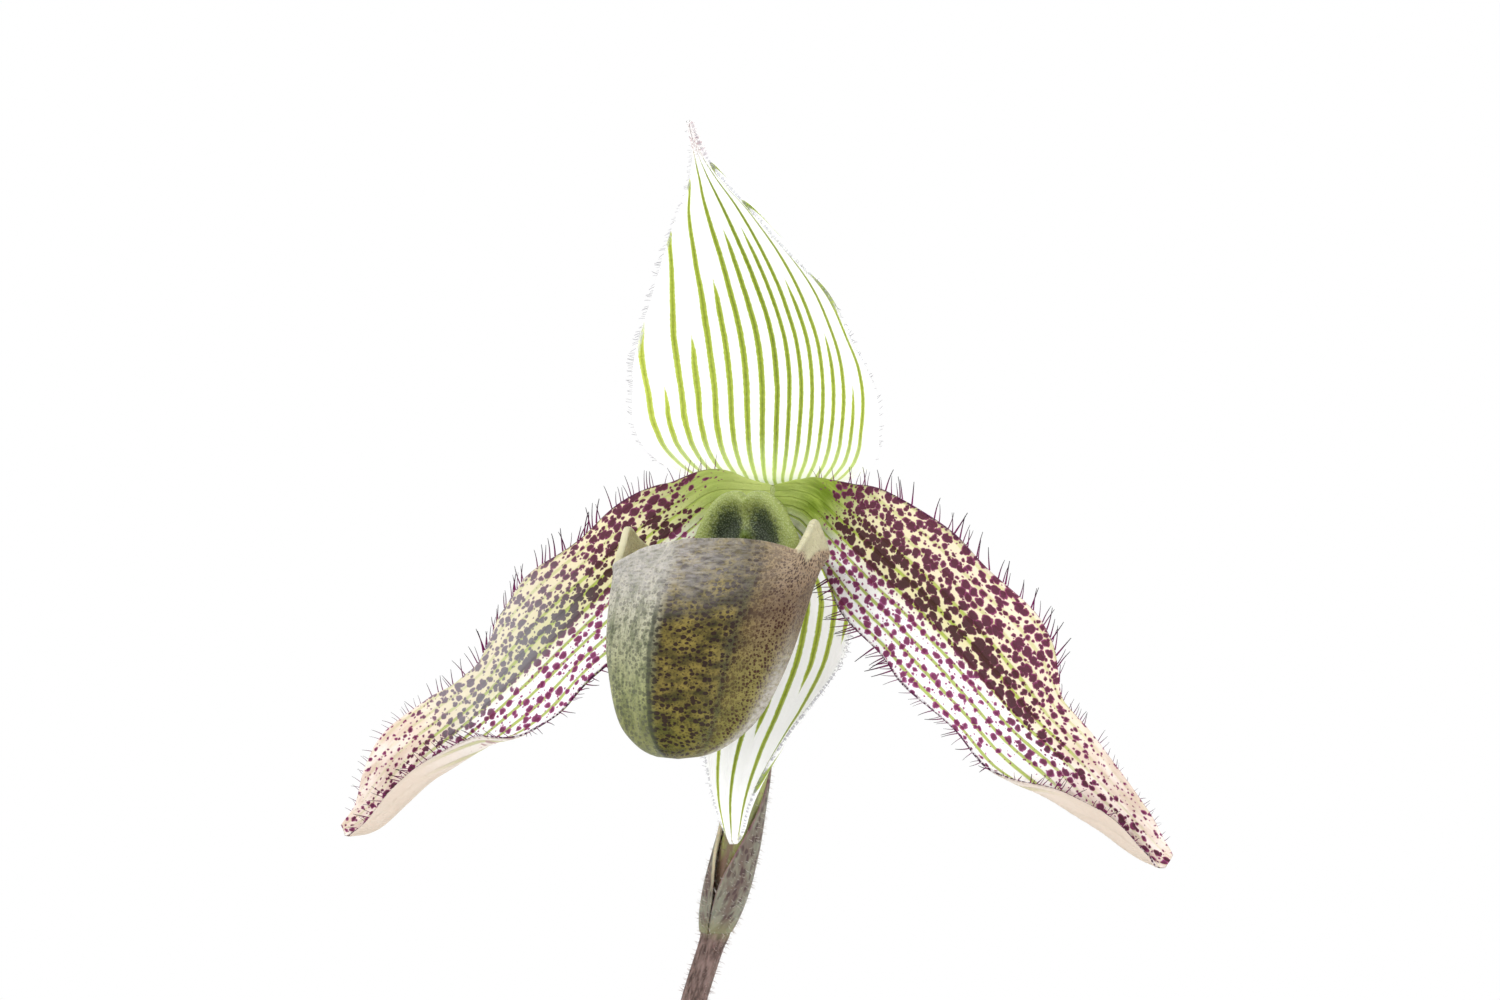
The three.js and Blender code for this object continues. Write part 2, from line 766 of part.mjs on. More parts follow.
// Lip: a hollow pouch with a pointed ear on each side of its rim. lipLevels: rows of [place from rim
// to toe, height, middle ahead, half width, half depth]. rimRise: rows of [degrees from the front,
// negative to the left, height of the rim above its level].
const LIP_WALL = 0.9;
const LIP_AROUND = 40;
const RIM_REACH = 0.25;
const lipLevels = track([
  [0, -6.2, 10, 13, 12.6],
  [0.1, -8.2, 10.8, 12.4, 12.4],
  [0.25, -12, 12.6, 11.8, 12.5],
  [0.45, -17.3, 14.8, 10.9, 12.3],
  [0.65, -22.6, 16.6, 9.4, 11],
  [0.8, -26.6, 18.2, 7.7, 8.9],
  [0.91, -29.4, 19.6, 5, 5.8],
  [0.97, -30.5, 20.4, 2.6, 3],
]);
const LIP_TOE = [0, -20.8, -30.8];
const rimRise = track([
  [-180, -0.3],
  [-150, -1.2],
  [-125, -1.7],
  [-107, -0.8],
  [-98, 0.3],
  [-89, 1.6],
  [-80, -0.9],
  [-72, -2.3],
  [-62, -2.9],
  [-45, -2.3],
  [-31, -1.65],
  [-16, -0.7],
  [0, -0.1],
  [12, 0.34],
  [32, 0.36],
  [46, 0.13],
  [60, -0.45],
  [69, -0.92],
  [77, 0.7],
  [85, 2.5],
  [91, 1.3],
  [98, -0.2],
  [105, -1.1],
  [117, -1.8],
  [150, -1.2],
  [180, -0.3],
]);
function lipRing(place, wall) {
  const [height, ahead, halfWidth, halfDepth] = lipLevels(place);
  const ring = [];
  for (let j = 0; j < LIP_AROUND; j++) {
    const angle = (j / LIP_AROUND) * 2 * Math.PI;
    const [sine, cosine] = [Math.sin(angle), Math.cos(angle)];
    const turn = THREE.MathUtils.radToDeg(Math.atan2(sine, cosine));
    const rise = rimRise(turn)[0] * Math.max(0, 1 - place / RIM_REACH) ** 1.5;
    const keel = 1 + 0.05 * Math.max(0, cosine) ** 8;
    const pinch = 1 - 0.3 * Math.max(0, -cosine) ** 2;
    ring.push(
      new THREE.Vector3(
        (halfWidth - wall) * sine * pinch,
        -(ahead + (halfDepth - wall) * cosine * keel),
        height + rise + wall * 0.5 * place,
      ),
    );
  }
  return ring;
}
const lipPlaces = [0, 0.04, 0.1, 0.18, 0.3, 0.44, 0.58, 0.71, 0.82, 0.91, 0.97];
const outerRings = lipPlaces.map((place) => lipRing(place, 0));
const innerRings = lipPlaces.map((place) => lipRing(place, LIP_WALL));
const lipInside = vector(LIP_TOE).add(new THREE.Vector3(0, 0, LIP_WALL));
const lipRings = [...outerRings.reverse(), ...innerRings];
bloomPiece("lip", loft(lipRings, vector(LIP_TOE), lipInside), LIP_OLIVE, 0.45);

// Column: a short base, a lower neck that ends in the shield with a thick rim round a sunken middle,
// an anther on each side, the stigma under it and the foot that the lip hangs from.
const BASE_HEIGHT = -1.6;
const NECK_HEIGHT = -2.8;
const SHIELD_CENTRE = [0, -5.2];
const SHIELD_FACE = 5;
const SHIELD_AROUND = 36;
const shieldReach = track([
  [0, 4.5],
  [4, 4.8],
  [9, 5.1],
  [20, 5.45],
  [35, 5.7],
  [50, 5.8],
  [63, 5.9],
  [75, 6.1],
  [85, 6.5],
  [95, 6.95],
  [104, 7.2],
  [125, 6.9],
  [150, 5.6],
  [172, 3.5],
  [180, 4],
]);
function shieldRing(share, ahead) {
  const ring = [];
  for (let j = 0; j < SHIELD_AROUND; j++) {
    const angle = (j / SHIELD_AROUND) * 2 * Math.PI;
    const fromTop = Math.abs(THREE.MathUtils.radToDeg(Math.atan2(Math.sin(angle), Math.cos(angle))));
    const reach = shieldReach(fromTop)[0] * share;
    const [x, z] = [reach * Math.sin(angle), reach * Math.cos(angle)];
    ring.push(new THREE.Vector3(SHIELD_CENTRE[0] + x, -ahead, SHIELD_CENTRE[1] + z));
  }
  return ring;
}
const shieldRings = [
  shieldRing(0.4, SHIELD_FACE - 1.9),
  shieldRing(0.86, SHIELD_FACE - 1.6),
  shieldRing(1, SHIELD_FACE - 0.8),
  shieldRing(0.96, SHIELD_FACE - 0.1),
  shieldRing(0.84, SHIELD_FACE),
  shieldRing(0.68, SHIELD_FACE - 0.5),
  shieldRing(0.4, SHIELD_FACE - 0.7),
];
const shieldPoint = (ahead) => new THREE.Vector3(SHIELD_CENTRE[0], -ahead, SHIELD_CENTRE[1]);
let column = solid(loft(shieldRings, shieldPoint(SHIELD_FACE - 1.9), shieldPoint(SHIELD_FACE - 0.7)));
const base = new THREE.CylinderGeometry(2.2, 2.2, 2.4, 14).translate(0, 3.6, BASE_HEIGHT);
const neck = new THREE.CylinderGeometry(1.9, 1.9, 7, 14).translate(0, 0, NECK_HEIGHT);
const foot = new THREE.CylinderGeometry(1, 1, 3.4, 10).rotateX(Math.PI / 2);
foot.translate(0, 2.4, NECK_HEIGHT - 1.65);
column = column.add(solid(base)).add(solid(neck)).add(solid(foot));
for (const side of [-1, 1]) {
  const anther = new THREE.SphereGeometry(1.3, 8, 6).scale(1, 1.3, 0.9);
  column = column.add(solid(anther.translate(side * 2.6, -1.6, NECK_HEIGHT)));
}
const stigma = new THREE.SphereGeometry(2.4, 10, 6).scale(1.1, 0.5, 0.45);
stigma.translate(0, -2.4, NECK_HEIGHT - 2.2);
column = column.add(solid(stigma));
bloomPiece("column", geometryFrom(column), COLUMN_GREEN, 0.4);

export default plant;
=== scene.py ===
# %% [markdown]
# # A potted slipper orchid
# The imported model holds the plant's plain solids: a pot, bark, leaves, a stalk and one bloom. Each
# solid is faceted and has one colour. This lesson keeps every form and size, and lays a finer skin
# over each one: veins, spots, hairs, bark chips and fired clay.

# %% Load the solids as the frame
import math

import bpy
import numpy as np
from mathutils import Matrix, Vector


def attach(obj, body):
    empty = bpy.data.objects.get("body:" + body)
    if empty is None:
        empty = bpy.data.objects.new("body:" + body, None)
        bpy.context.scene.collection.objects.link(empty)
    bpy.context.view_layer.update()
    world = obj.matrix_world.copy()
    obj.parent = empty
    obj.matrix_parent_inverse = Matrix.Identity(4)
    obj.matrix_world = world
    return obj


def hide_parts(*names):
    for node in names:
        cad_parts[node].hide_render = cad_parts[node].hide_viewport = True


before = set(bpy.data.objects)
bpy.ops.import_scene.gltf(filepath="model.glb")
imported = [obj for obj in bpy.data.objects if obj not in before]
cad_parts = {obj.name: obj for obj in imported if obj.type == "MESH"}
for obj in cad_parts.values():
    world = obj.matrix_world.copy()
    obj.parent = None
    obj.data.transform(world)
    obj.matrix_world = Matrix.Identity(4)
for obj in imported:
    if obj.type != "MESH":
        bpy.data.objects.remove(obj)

scene = bpy.context.scene
MM = 0.001
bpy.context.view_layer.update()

# %% [markdown]
# ## Camera
# The portrait was taken level with the bloom, from close by, with a long lens, so the petals hardly
# grow towards us. A camera object looks down its own -Z, so it is tipped up by a quarter turn to
# look along +Y.

# %% Camera
EYE_PLACE = (0.028466, -0.598, 0.32182)
LENS_MM, SENSOR_MM = 120, 36
eye = bpy.data.cameras.new("eye")
eye.lens = LENS_MM
eye.sensor_width = SENSOR_MM
camera = bpy.data.objects.new("camera", eye)
camera.location = EYE_PLACE
camera.rotation_euler = (math.radians(90), 0, 0)
scene.collection.objects.link(camera)
scene.camera = camera
print("camera looks along +Y from", EYE_PLACE)

# %% [markdown]
# ## Light
# The bloom stands in front of pure white, and light comes through it as much as onto it. The world
# does both jobs: it is white where the camera sees it, and as light it is nearly even, a shade
# brighter from below than overhead. Three large soft lamps add the form: one from the upper left,
# one from behind that shines through the petals, and a weak one that fills in from the lower right.
# The Standard view keeps white white.

# %% World and lamps
scene.view_settings.view_transform = "Standard"
world = bpy.data.worlds.new("white_room")
scene.world = world
world.use_nodes = True
sky = world.node_tree
sky.nodes["Background"].inputs["Color"].default_value = (1, 1, 1, 1)
direction = sky.nodes.new("ShaderNodeTexCoord")
upward = sky.nodes.new("ShaderNodeSeparateXYZ")
shade = sky.nodes.new("ShaderNodeMapRange")
seen = sky.nodes.new("ShaderNodeLightPath")
pick = sky.nodes.new("ShaderNodeMix")
sky.links.new(direction.outputs["Generated"], upward.inputs[0])
sky.links.new(upward.outputs["Z"], shade.inputs["Value"])
for socket, value in {"From Min": -0.6, "From Max": 0.9, "To Min": 1.0, "To Max": 0.97}.items():
    shade.inputs[socket].default_value = value
sky.links.new(seen.outputs["Is Camera Ray"], pick.inputs[0])
sky.links.new(shade.outputs[0], pick.inputs[2])
pick.inputs[3].default_value = 1.0
sky.links.new(pick.outputs[0], sky.nodes["Background"].inputs["Strength"])


def softbox(name, place, target, size, watts):
    """A square lamp at place that faces target."""
    lamp = bpy.data.lights.new(name, "AREA")
    lamp.size = size
    lamp.energy = watts
    holder = bpy.data.objects.new(name, lamp)
    holder.location = place
    holder.rotation_euler = (Vector(target) - Vector(place)).to_track_quat("-Z", "Y").to_euler()
    scene.collection.objects.link(holder)
    print("lamp", name, watts, "W")


BLOOM_PLACE = (0.03, 0, 0.3)
softbox("key_lamp", (-0.65, -0.5, 0.85), BLOOM_PLACE, 0.4, 3.4)
softbox("back_lamp", (0.25, 0.75, 0.65), BLOOM_PLACE, 0.6, 4.5)
softbox("fill_lamp", (0.5, -0.5, 0.02), (0.03, 0, 0.28), 0.4, 2.2)

# %% [markdown]
# ## Curves and tables
# Every part of the plant grows along a line, and its width, fold and thickness change on the way.
# Two small helpers describe that: one runs a smooth line through points, the other runs smoothly
# between rows of a table and never overshoots a row. The solids were made by the same rules, so the
# finer skins fall where the solids are. NumPy works out all points of a piece at once.

# %% A line through points, and values between rows
def unit(vectors):
    return vectors / np.linalg.norm(vectors, axis=-1, keepdims=True)


def hermite(start, end, slope_start, slope_end, span, u):
    """A cubic from start to end, u from 0 to 1, with the slopes it leaves and arrives with."""
    v = 1 - u
    rise = start * v * v * (1 + 2 * u) + end * u * u * (1 + 2 * v)
    return rise + span * u * v * (slope_start * v - slope_end * u)


def between(knots, slopes, values, share):
    """The cubic through values at the knots, at each share."""
    i = np.clip(np.searchsorted(knots, share, side="left") - 1, 0, len(knots) - 2)
    span = (knots[i + 1] - knots[i])[..., None]
    u = (share - knots[i])[..., None] / span
    return hermite(values[i], values[i + 1], slopes[i], slopes[i + 1], span, u)


def line_through(points):
    """A function from 0..1 to the line's point, measured by the length of its chords."""
    points = np.array(points, float)
    knots = np.concatenate([[0], np.cumsum(np.linalg.norm(np.diff(points, axis=0), axis=1))])
    order = np.arange(len(points))
    before, after = np.maximum(order - 1, 0), np.minimum(order + 1, order[-1])
    slopes = (points[after] - points[before]) / (knots[after] - knots[before])[:, None]
    return lambda share: between(knots, slopes, points, np.asarray(share, float) * knots[-1])


def table(rows):
    """A function from a place to the values between rows of [place, value, ...]."""
    rows = np.array(rows, float)
    knots, values = rows[:, 0], rows[:, 1:]
    steps = np.diff(values, axis=0) / np.diff(knots)[:, None]
    before, after = steps[:-1], steps[1:]
    together = before * after > 0
    mean = 2 * before * after / np.where(together, before + after, 1)
    slopes = np.vstack([steps[:1], np.where(together, mean, 0), steps[-1:]])
    return lambda share: between(knots, slopes, values, np.asarray(share, float))


def length_of(line):
    points = line(np.linspace(0, 1, 200))
    return np.linalg.norm(np.diff(points, axis=0), axis=1).sum()


def fade(value, start, end):
    """0 up to start, 1 from end, and a soft step between."""
    u = np.clip((value - start) / (end - start), 0, 1)
    return u * u * (3 - 2 * u)


def hump(value, middle, half_width):
    """1 at the middle, falling softly to both sides."""
    return np.exp(-(((value - middle) / half_width) ** 2))


def once_round(count):
    """Angles evenly round a circle."""
    return np.arange(count) / count * 2 * np.pi


arc = line_through([[0, 0, 0], [10, 3, 0], [30, 0, 0]])
print("an arc over 30 mm measures", round(length_of(arc), 2), "mm")

# %% [markdown]
# ## From points to a piece
# A mesh is a list of points and a list of faces. Two builders cover this plant. A skin is a thin
# closed sheet: a front and a back grid of points that share their border, so the margin comes out
# rounded. A loft joins rings of points and closes both ends. Numbers kept on the points, such as the
# place along a petal, travel with the mesh as attributes, and the materials read them later.

# %% Skins and lofts
def skin(front, back, **marks):
    """Points, faces and marks of a closed sheet between two grids that meet at their border."""
    rows, columns = front.shape[:2]
    inner = (slice(1, -1), slice(1, -1))
    upper = np.arange(rows * columns).reshape(rows, columns)
    lower = upper.copy()
    lower[inner] = rows * columns + np.arange((rows - 2) * (columns - 2)).reshape(rows - 2, -1)

    def over(grid):
        corners = [grid[:-1, :-1], grid[1:, :-1], grid[1:, 1:], grid[:-1, 1:]]
        return np.stack(corners, -1).reshape(-1, 4)

    def both(a, b):
        tail = a.shape[2:]
        return np.concatenate([a.reshape(-1, *tail), b[inner].reshape(-1, *tail)])

    faces = np.concatenate([over(upper), over(lower)[:, ::-1]]).tolist()
    kept = {name: both(value, value) for name, value in marks.items()}
    kept["side"] = both(np.ones((rows, columns)), -np.ones((rows, columns)))
    return both(front, back), faces, kept


def loft(rings, start, end, **marks):
    """Points, faces and marks of a closed body through rings, with a middle point at each end."""
    count, around = rings.shape[:2]
    ring = 1 + np.arange(count * around).reshape(count, around)
    turned = np.roll(ring, -1, axis=1)
    sides = np.stack([ring[:-1], turned[:-1], turned[1:], ring[1:]], -1).reshape(-1, 4).tolist()
    last = count * around + 1
    foot = [[0, int(b), int(a)] for a, b in zip(ring[0], turned[0])]
    head = [[last, int(a), int(b)] for a, b in zip(ring[-1], turned[-1])]
    points = np.concatenate([[start], rings.reshape(-1, 3), [end]])
    kept = {}
    for name, value in marks.items():
        first, last = value[0].mean(0, keepdims=True), value[-1].mean(0, keepdims=True)
        kept[name] = np.concatenate([first, value.reshape(-1, *value.shape[2:]), last])
    return points, sides + foot + head, kept


def joined(*bodies):
    """Several bodies as one."""
    points, faces, marks = [], [], {name: [] for name in bodies[0][2]}
    for body_points, body_faces, body_marks in bodies:
        first = sum(len(part) for part in points)
        faces += [[first + corner for corner in face] for face in body_faces]
        points.append(body_points)
        for name, value in body_marks.items():
            marks[name].append(value)
    marks = {name: np.concatenate(value) for name, value in marks.items()}
    return np.concatenate(points), faces, marks


sheet = np.zeros((3, 3, 3))
print("a skin over 3 by 3 points has", len(skin(sheet, sheet)[1]), "faces")


# %% Objects from points
def keep_mark(mesh, name, value):
    """Keep a number or a vector for each point of the mesh as an attribute."""
    kind, field = ("FLOAT", "value") if value.ndim == 1 else ("FLOAT_VECTOR", "vector")
    numbers = np.ascontiguousarray(value, np.float32).ravel()
    mesh.attributes.new(name, kind, "POINT").data.foreach_set(field, numbers)


def piece_from(name, body, finish):
    """A smooth object from points in millimetres, its faces out, with its marks as attributes."""
    points, faces, marks = body
    mesh = bpy.data.meshes.new(name)
    mesh.from_pydata((points * MM).tolist(), [], faces)
    for mark, value in marks.items():
        keep_mark(mesh, mark, value)
    corners = points[[face[0] for face in faces]]
    first, second, third = (points[[face[k] for face in faces]] - corners for k in (1, 2, -1))
    outward = np.cross(first, second) + np.cross(second, third)
    if (corners * outward).sum() < 0:
        mesh.flip_normals()
    mesh.shade_smooth()
    mesh.materials.append(finish)
    piece = bpy.data.objects.new(name, mesh)
    scene.collection.objects.link(piece)
    print(name, "has", len(faces), "faces")
    return piece


def dress(piece, slot, *nodes):
    """The piece rides on the plant and stands for its solids; slot is not used."""
    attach(piece, "root")
    if nodes:
        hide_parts(*nodes)


# %% [markdown]
# ## Finishes
# A finish here is a small net of nodes. It reads attributes or the object's own coordinates, mixes
# colours by them and ends in the Principled shader. The helpers below only save typing: each one adds
# a node and hands back its output, and outputs add and multiply like numbers. Sockets that stay the
# same all over the surface, such as the subsurface weight, are set on the shader itself.

# %% A helper for shader nodes
def screen_colour(red, green, blue):
    """A screen colour, 0 to 255, as the linear colour that a socket takes."""
    share = np.array([red, green, blue]) / 255
    linear = np.where(share <= 0.04045, share / 12.92, ((share + 0.055) / 1.055) ** 2.4)
    return (*linear.tolist(), 1)


print("a screen grey of 128 is", round(screen_colour(128, 128, 128)[0], 3), "in linear light")


class Output:
    """A node's output. Sums and products of outputs add the nodes that work them out."""

    def __init__(self, socket):
        self.socket = socket

    def __add__(self, other):
        return arithmetic("ADD", self, other)

    def __sub__(self, other):
        return arithmetic("SUBTRACT", self, other)

    def __mul__(self, other):
        return arithmetic("MULTIPLY", self, other)

    def __abs__(self):
        return maths("ABSOLUTE", self)


def add_node(tree, kind, sockets=None, **settings):
    """A node with its settings and its sockets, by name or number, filled or linked."""
    made = tree.nodes.new(kind)
    for name, value in settings.items():
        setattr(made, name, value)
    for name, value in (sockets or {}).items():
        if isinstance(value, Output):
            tree.links.new(value.socket, made.inputs[name])
        else:
            made.inputs[name].default_value = value
    return made


# %% Nodes that the finishes share
def wire(kind, sockets, out=0, **settings):
    """One output of a new node, which goes in the tree that its inputs come from."""
    tree = next(value.socket.id_data for value in sockets.values() if isinstance(value, Output))
    return Output(add_node(tree, kind, sockets, **settings).outputs[out])


def maths(operation, *values):
    """A sum of numbers by one of the Math node's operations."""
    return wire("ShaderNodeMath", dict(enumerate(values)), operation=operation)


def arithmetic(operation, *sides):
    """Work with numbers, or with vectors where a side has three parts."""
    three = ("VECTOR", "RGBA")
    if not any(isinstance(side, tuple) or isinstance(side, Output) and side.socket.type in three
               for side in sides):
        return maths(operation, *sides)
    sides = [(side,) * 3 if isinstance(side, (int, float)) else side for side in sides]
    return wire("ShaderNodeVectorMath", dict(enumerate(sides)), operation=operation)


def larger(first, second):
    """The larger of two numbers."""
    return maths("MAXIMUM", first, second)


def from_whole(count):
    """How far a count is from the nearest whole number, 0 to 0.5."""
    return maths("PINGPONG", count, 0.5)


# %% Patterns and mixes
def parts(vector):
    """The three numbers of a vector or a colour."""
    made = add_node(vector.socket.id_data, "ShaderNodeSeparateXYZ", {0: vector})
    return [Output(socket) for socket in made.outputs]


def step(value, start, end, low=0.0, high=1.0):
    """A soft step from low to high while value goes from start to end."""
    sockets = {"Value": value, "From Min": start, "From Max": end, "To Min": low, "To Max": high}
    return wire("ShaderNodeMapRange", sockets, interpolation_type="SMOOTHSTEP")


def mix(share, *colours):
    """The first colour where share is 0, the second where it is 1. Three numbers are a screen colour."""
    first, second = (screen_colour(*tone) if isinstance(tone, tuple) else tone for tone in colours)
    return wire("ShaderNodeMix", {0: share, 6: first, 7: second}, out=2, data_type="RGBA")


def noise(where, size, detail=3.0, roughness=0.5, distortion=0.0, out=0):
    """Clouds about size millimetres across, 0 to 1."""
    sockets = {"Vector": where, "Scale": 1 / size, "Detail": detail, "Roughness": roughness,
               "Distortion": distortion}
    return wire("ShaderNodeTexNoise", sockets, out=out)


def cells(where, size, feature="F1"):
    """Cells about size millimetres apart in the plane: distance and a random colour."""
    made = add_node(where.socket.id_data, "ShaderNodeTexVoronoi", {"Vector": where, "Scale": 1 / size},
                    feature=feature, voronoi_dimensions="2D")
    return Output(made.outputs[0]), Output(made.outputs[1])


def shaken(where, size, amount):
    """The place moved about by a noise, so that what it drives loses its straight edges."""
    return where + (noise(where, size, 2.0, out=1) - 0.5) * (2 * amount)


# %% A material under way
class Finish:
    """A Principled material to which nodes are added."""

    def __init__(self, name, **sockets):
        self.material = bpy.data.materials.new(name)
        self.material.use_nodes = True
        self.tree = self.material.node_tree
        self.shader = self.tree.nodes["Principled BSDF"]
        for socket, value in sockets.items():
            self.shader.inputs[socket.replace("_", " ")].default_value = value

    def read(self, kind, out, **settings):
        """One output of a new node that needs no input."""
        return Output(add_node(self.tree, kind, **settings).outputs[out])

    def mark(self, name):
        """An attribute as a number."""
        return self.read("ShaderNodeAttribute", "Fac", attribute_name=name)

    def marks(self, name):
        """An attribute as a vector."""
        return self.read("ShaderNodeAttribute", "Vector", attribute_name=name)

    def here(self):
        """The object's own coordinates, in millimetres."""
        return self.read("ShaderNodeTexCoord", "Object") * 1000

    def relief(self, height, depth):
        """Light the surface as if height, 0 to 1, stood out of it by depth millimetres."""
        normal = wire("ShaderNodeBump", {"Height": height, "Distance": depth * MM})
        self.tree.links.new(normal.socket, self.shader.inputs["Normal"])

    def done(self, base, roughness=None):
        """The material, once its colour and any changing roughness are linked."""
        self.tree.links.new(base.socket, self.shader.inputs["Base Color"])
        if roughness is not None:
            self.tree.links.new(roughness.socket, self.shader.inputs["Roughness"])
        print("finish", self.material.name, "has", len(self.tree.nodes), "nodes")
        return self.material


# %% [markdown]
# ## Floor
# A plain pale disc carries the pot. It is wide enough to catch the shadow and small enough to stay
# out of the portrait, which looks over it.

# %% Floor
def wheels(radii, heights, around):
    """Rings about the Z axis with these radii and heights."""
    angle = once_round(around)
    ring = np.stack([np.cos(angle), np.sin(angle), np.zeros(around)], -1)
    return radii[:, None, None] * ring + heights[:, None, None] * [0, 0, 1]


def lathe(profile, around):
    """A closed body from a profile of [radius, height] whose two ends lie on the axis."""
    radii, heights = np.array(profile, float).T
    rings = wheels(radii[1:-1], heights[1:-1], around)
    return loft(rings, [0, 0, heights[0]], [0, 0, heights[-1]])


pale = Finish("pale_floor", Roughness=0.9)
dust = noise(pale.here(), 60)
pale_floor = pale.done(mix(dust, (250, 250, 249), (243, 243, 241)))
disc = lathe([[0, 0], [600, 0], [1000, 0], [1000, -5], [0, -5]], 96)
floor = piece_from("floor", disc, pale_floor)

# %% [markdown]
# ## Clay pot
# A plain turned pot: a wall that leans outwards, a tall rim band and four holes in its floor. Turning
# a profile about the axis gives the body. Its corners are rounded first, because fired clay has no
# sharp edge. The holes are cut with a Boolean modifier, whose result is kept as a plain mesh. Clay is
# dull and grainy: fine grit, faint turning lines, a lime bloom near the rim and the foot.

# %% Terracotta
def rounded(profile, radius, steps=4):
    """The profile with each corner but the two ends turned into a small arc."""
    profile = np.array(profile, float)
    points = [profile[0]]
    for before, corner, after in zip(profile, profile[1:], profile[2:]):
        start, end = before - corner, after - corner
        start *= min(radius / np.linalg.norm(start), 0.45)
        end *= min(radius / np.linalg.norm(end), 0.45)
        for u in np.linspace(0, 1, steps):
            points.append(corner + start * (1 - u) ** 2 + end * u * u)
    return np.array([*points, profile[-1]])


clay = Finish("terracotta", Specular_IOR_Level=0.3)
place = clay.here()
height = parts(place)[2]
lines = noise(place * (0.05, 0.05, 1.0), 1.6, 2)
grit = noise(place, 0.5, 4, 0.7)
stains = noise(place, 16, 5, 0.6)
fired = mix(stains, (196, 120, 82), (170, 92, 58))
fired = mix(step(grit, 0.55, 0.75) * 0.5, fired, (214, 150, 112))
near_rim = step(height, 70, 88)
near_foot = step(height, 14, 0)
lime = larger(near_rim, near_foot) * step(stains, 0.42, 0.66)
fired = mix(lime * 0.65, fired, (222, 204, 190))
clay.relief(lines * 0.7 + grit, 0.25)
terracotta = clay.done(fired, step(grit, 0.2, 0.8, 0.95, 0.78))

# %% Pot with its drain holes
POT_PROFILE = [[0, 0], [33.8, 0], [35, 1.2], [47.5, 68], [50.2, 68], [51.2, 69], [52, 86], [51, 87.6],
               [49.2, 88], [47.2, 87.5], [46.4, 86], [32.9, 7], [30.4, 6], [0, 6]]
pot = piece_from("clay_pot", lathe(rounded(POT_PROFILE, 1.2), 128), terracotta)
HOLE_RADIUS, HOLE_REACH = 4.5, 17
points, faces, marks = lathe([[0, -6], [HOLE_RADIUS, -6], [HOLE_RADIUS, 12], [0, 12]], 32)
drills = [(points + [HOLE_REACH * math.cos(turn), HOLE_REACH * math.sin(turn), 0], faces, marks)
          for turn in np.radians([45, 135, 225, 315])]
drill = piece_from("drill", joined(*drills), terracotta)


def plain_mesh(piece):
    """Keep what the modifiers of a piece make, and take the modifiers off."""
    graph = bpy.context.evaluated_depsgraph_get()
    mesh = bpy.data.meshes.new_from_object(piece.evaluated_get(graph), depsgraph=graph)
    piece.modifiers.clear()
    piece.data = mesh
    return len(mesh.polygons)


cut = pot.modifiers.new("drain_holes", "BOOLEAN")
cut.operation = "DIFFERENCE"
cut.solver = "EXACT"
cut.object = drill
print("pot with its holes:", plain_mesh(pot), "faces")
bpy.data.objects.remove(drill)
dress(pot, "terracotta", "pot")

# %% [markdown]
# ## Geometry Nodes kit
# Hairs, down and bark chips repeat a small shape hundreds of times, which is what Geometry Nodes are
# for. A tree is built once with named inputs, and each use fills them in. Its result is kept as a
# plain mesh, because loose instances are lost when a model is exported.

# %% A helper for geometry trees
SOCKETS = {float: "NodeSocketFloat", int: "NodeSocketInt", object: "NodeSocketMaterial"}


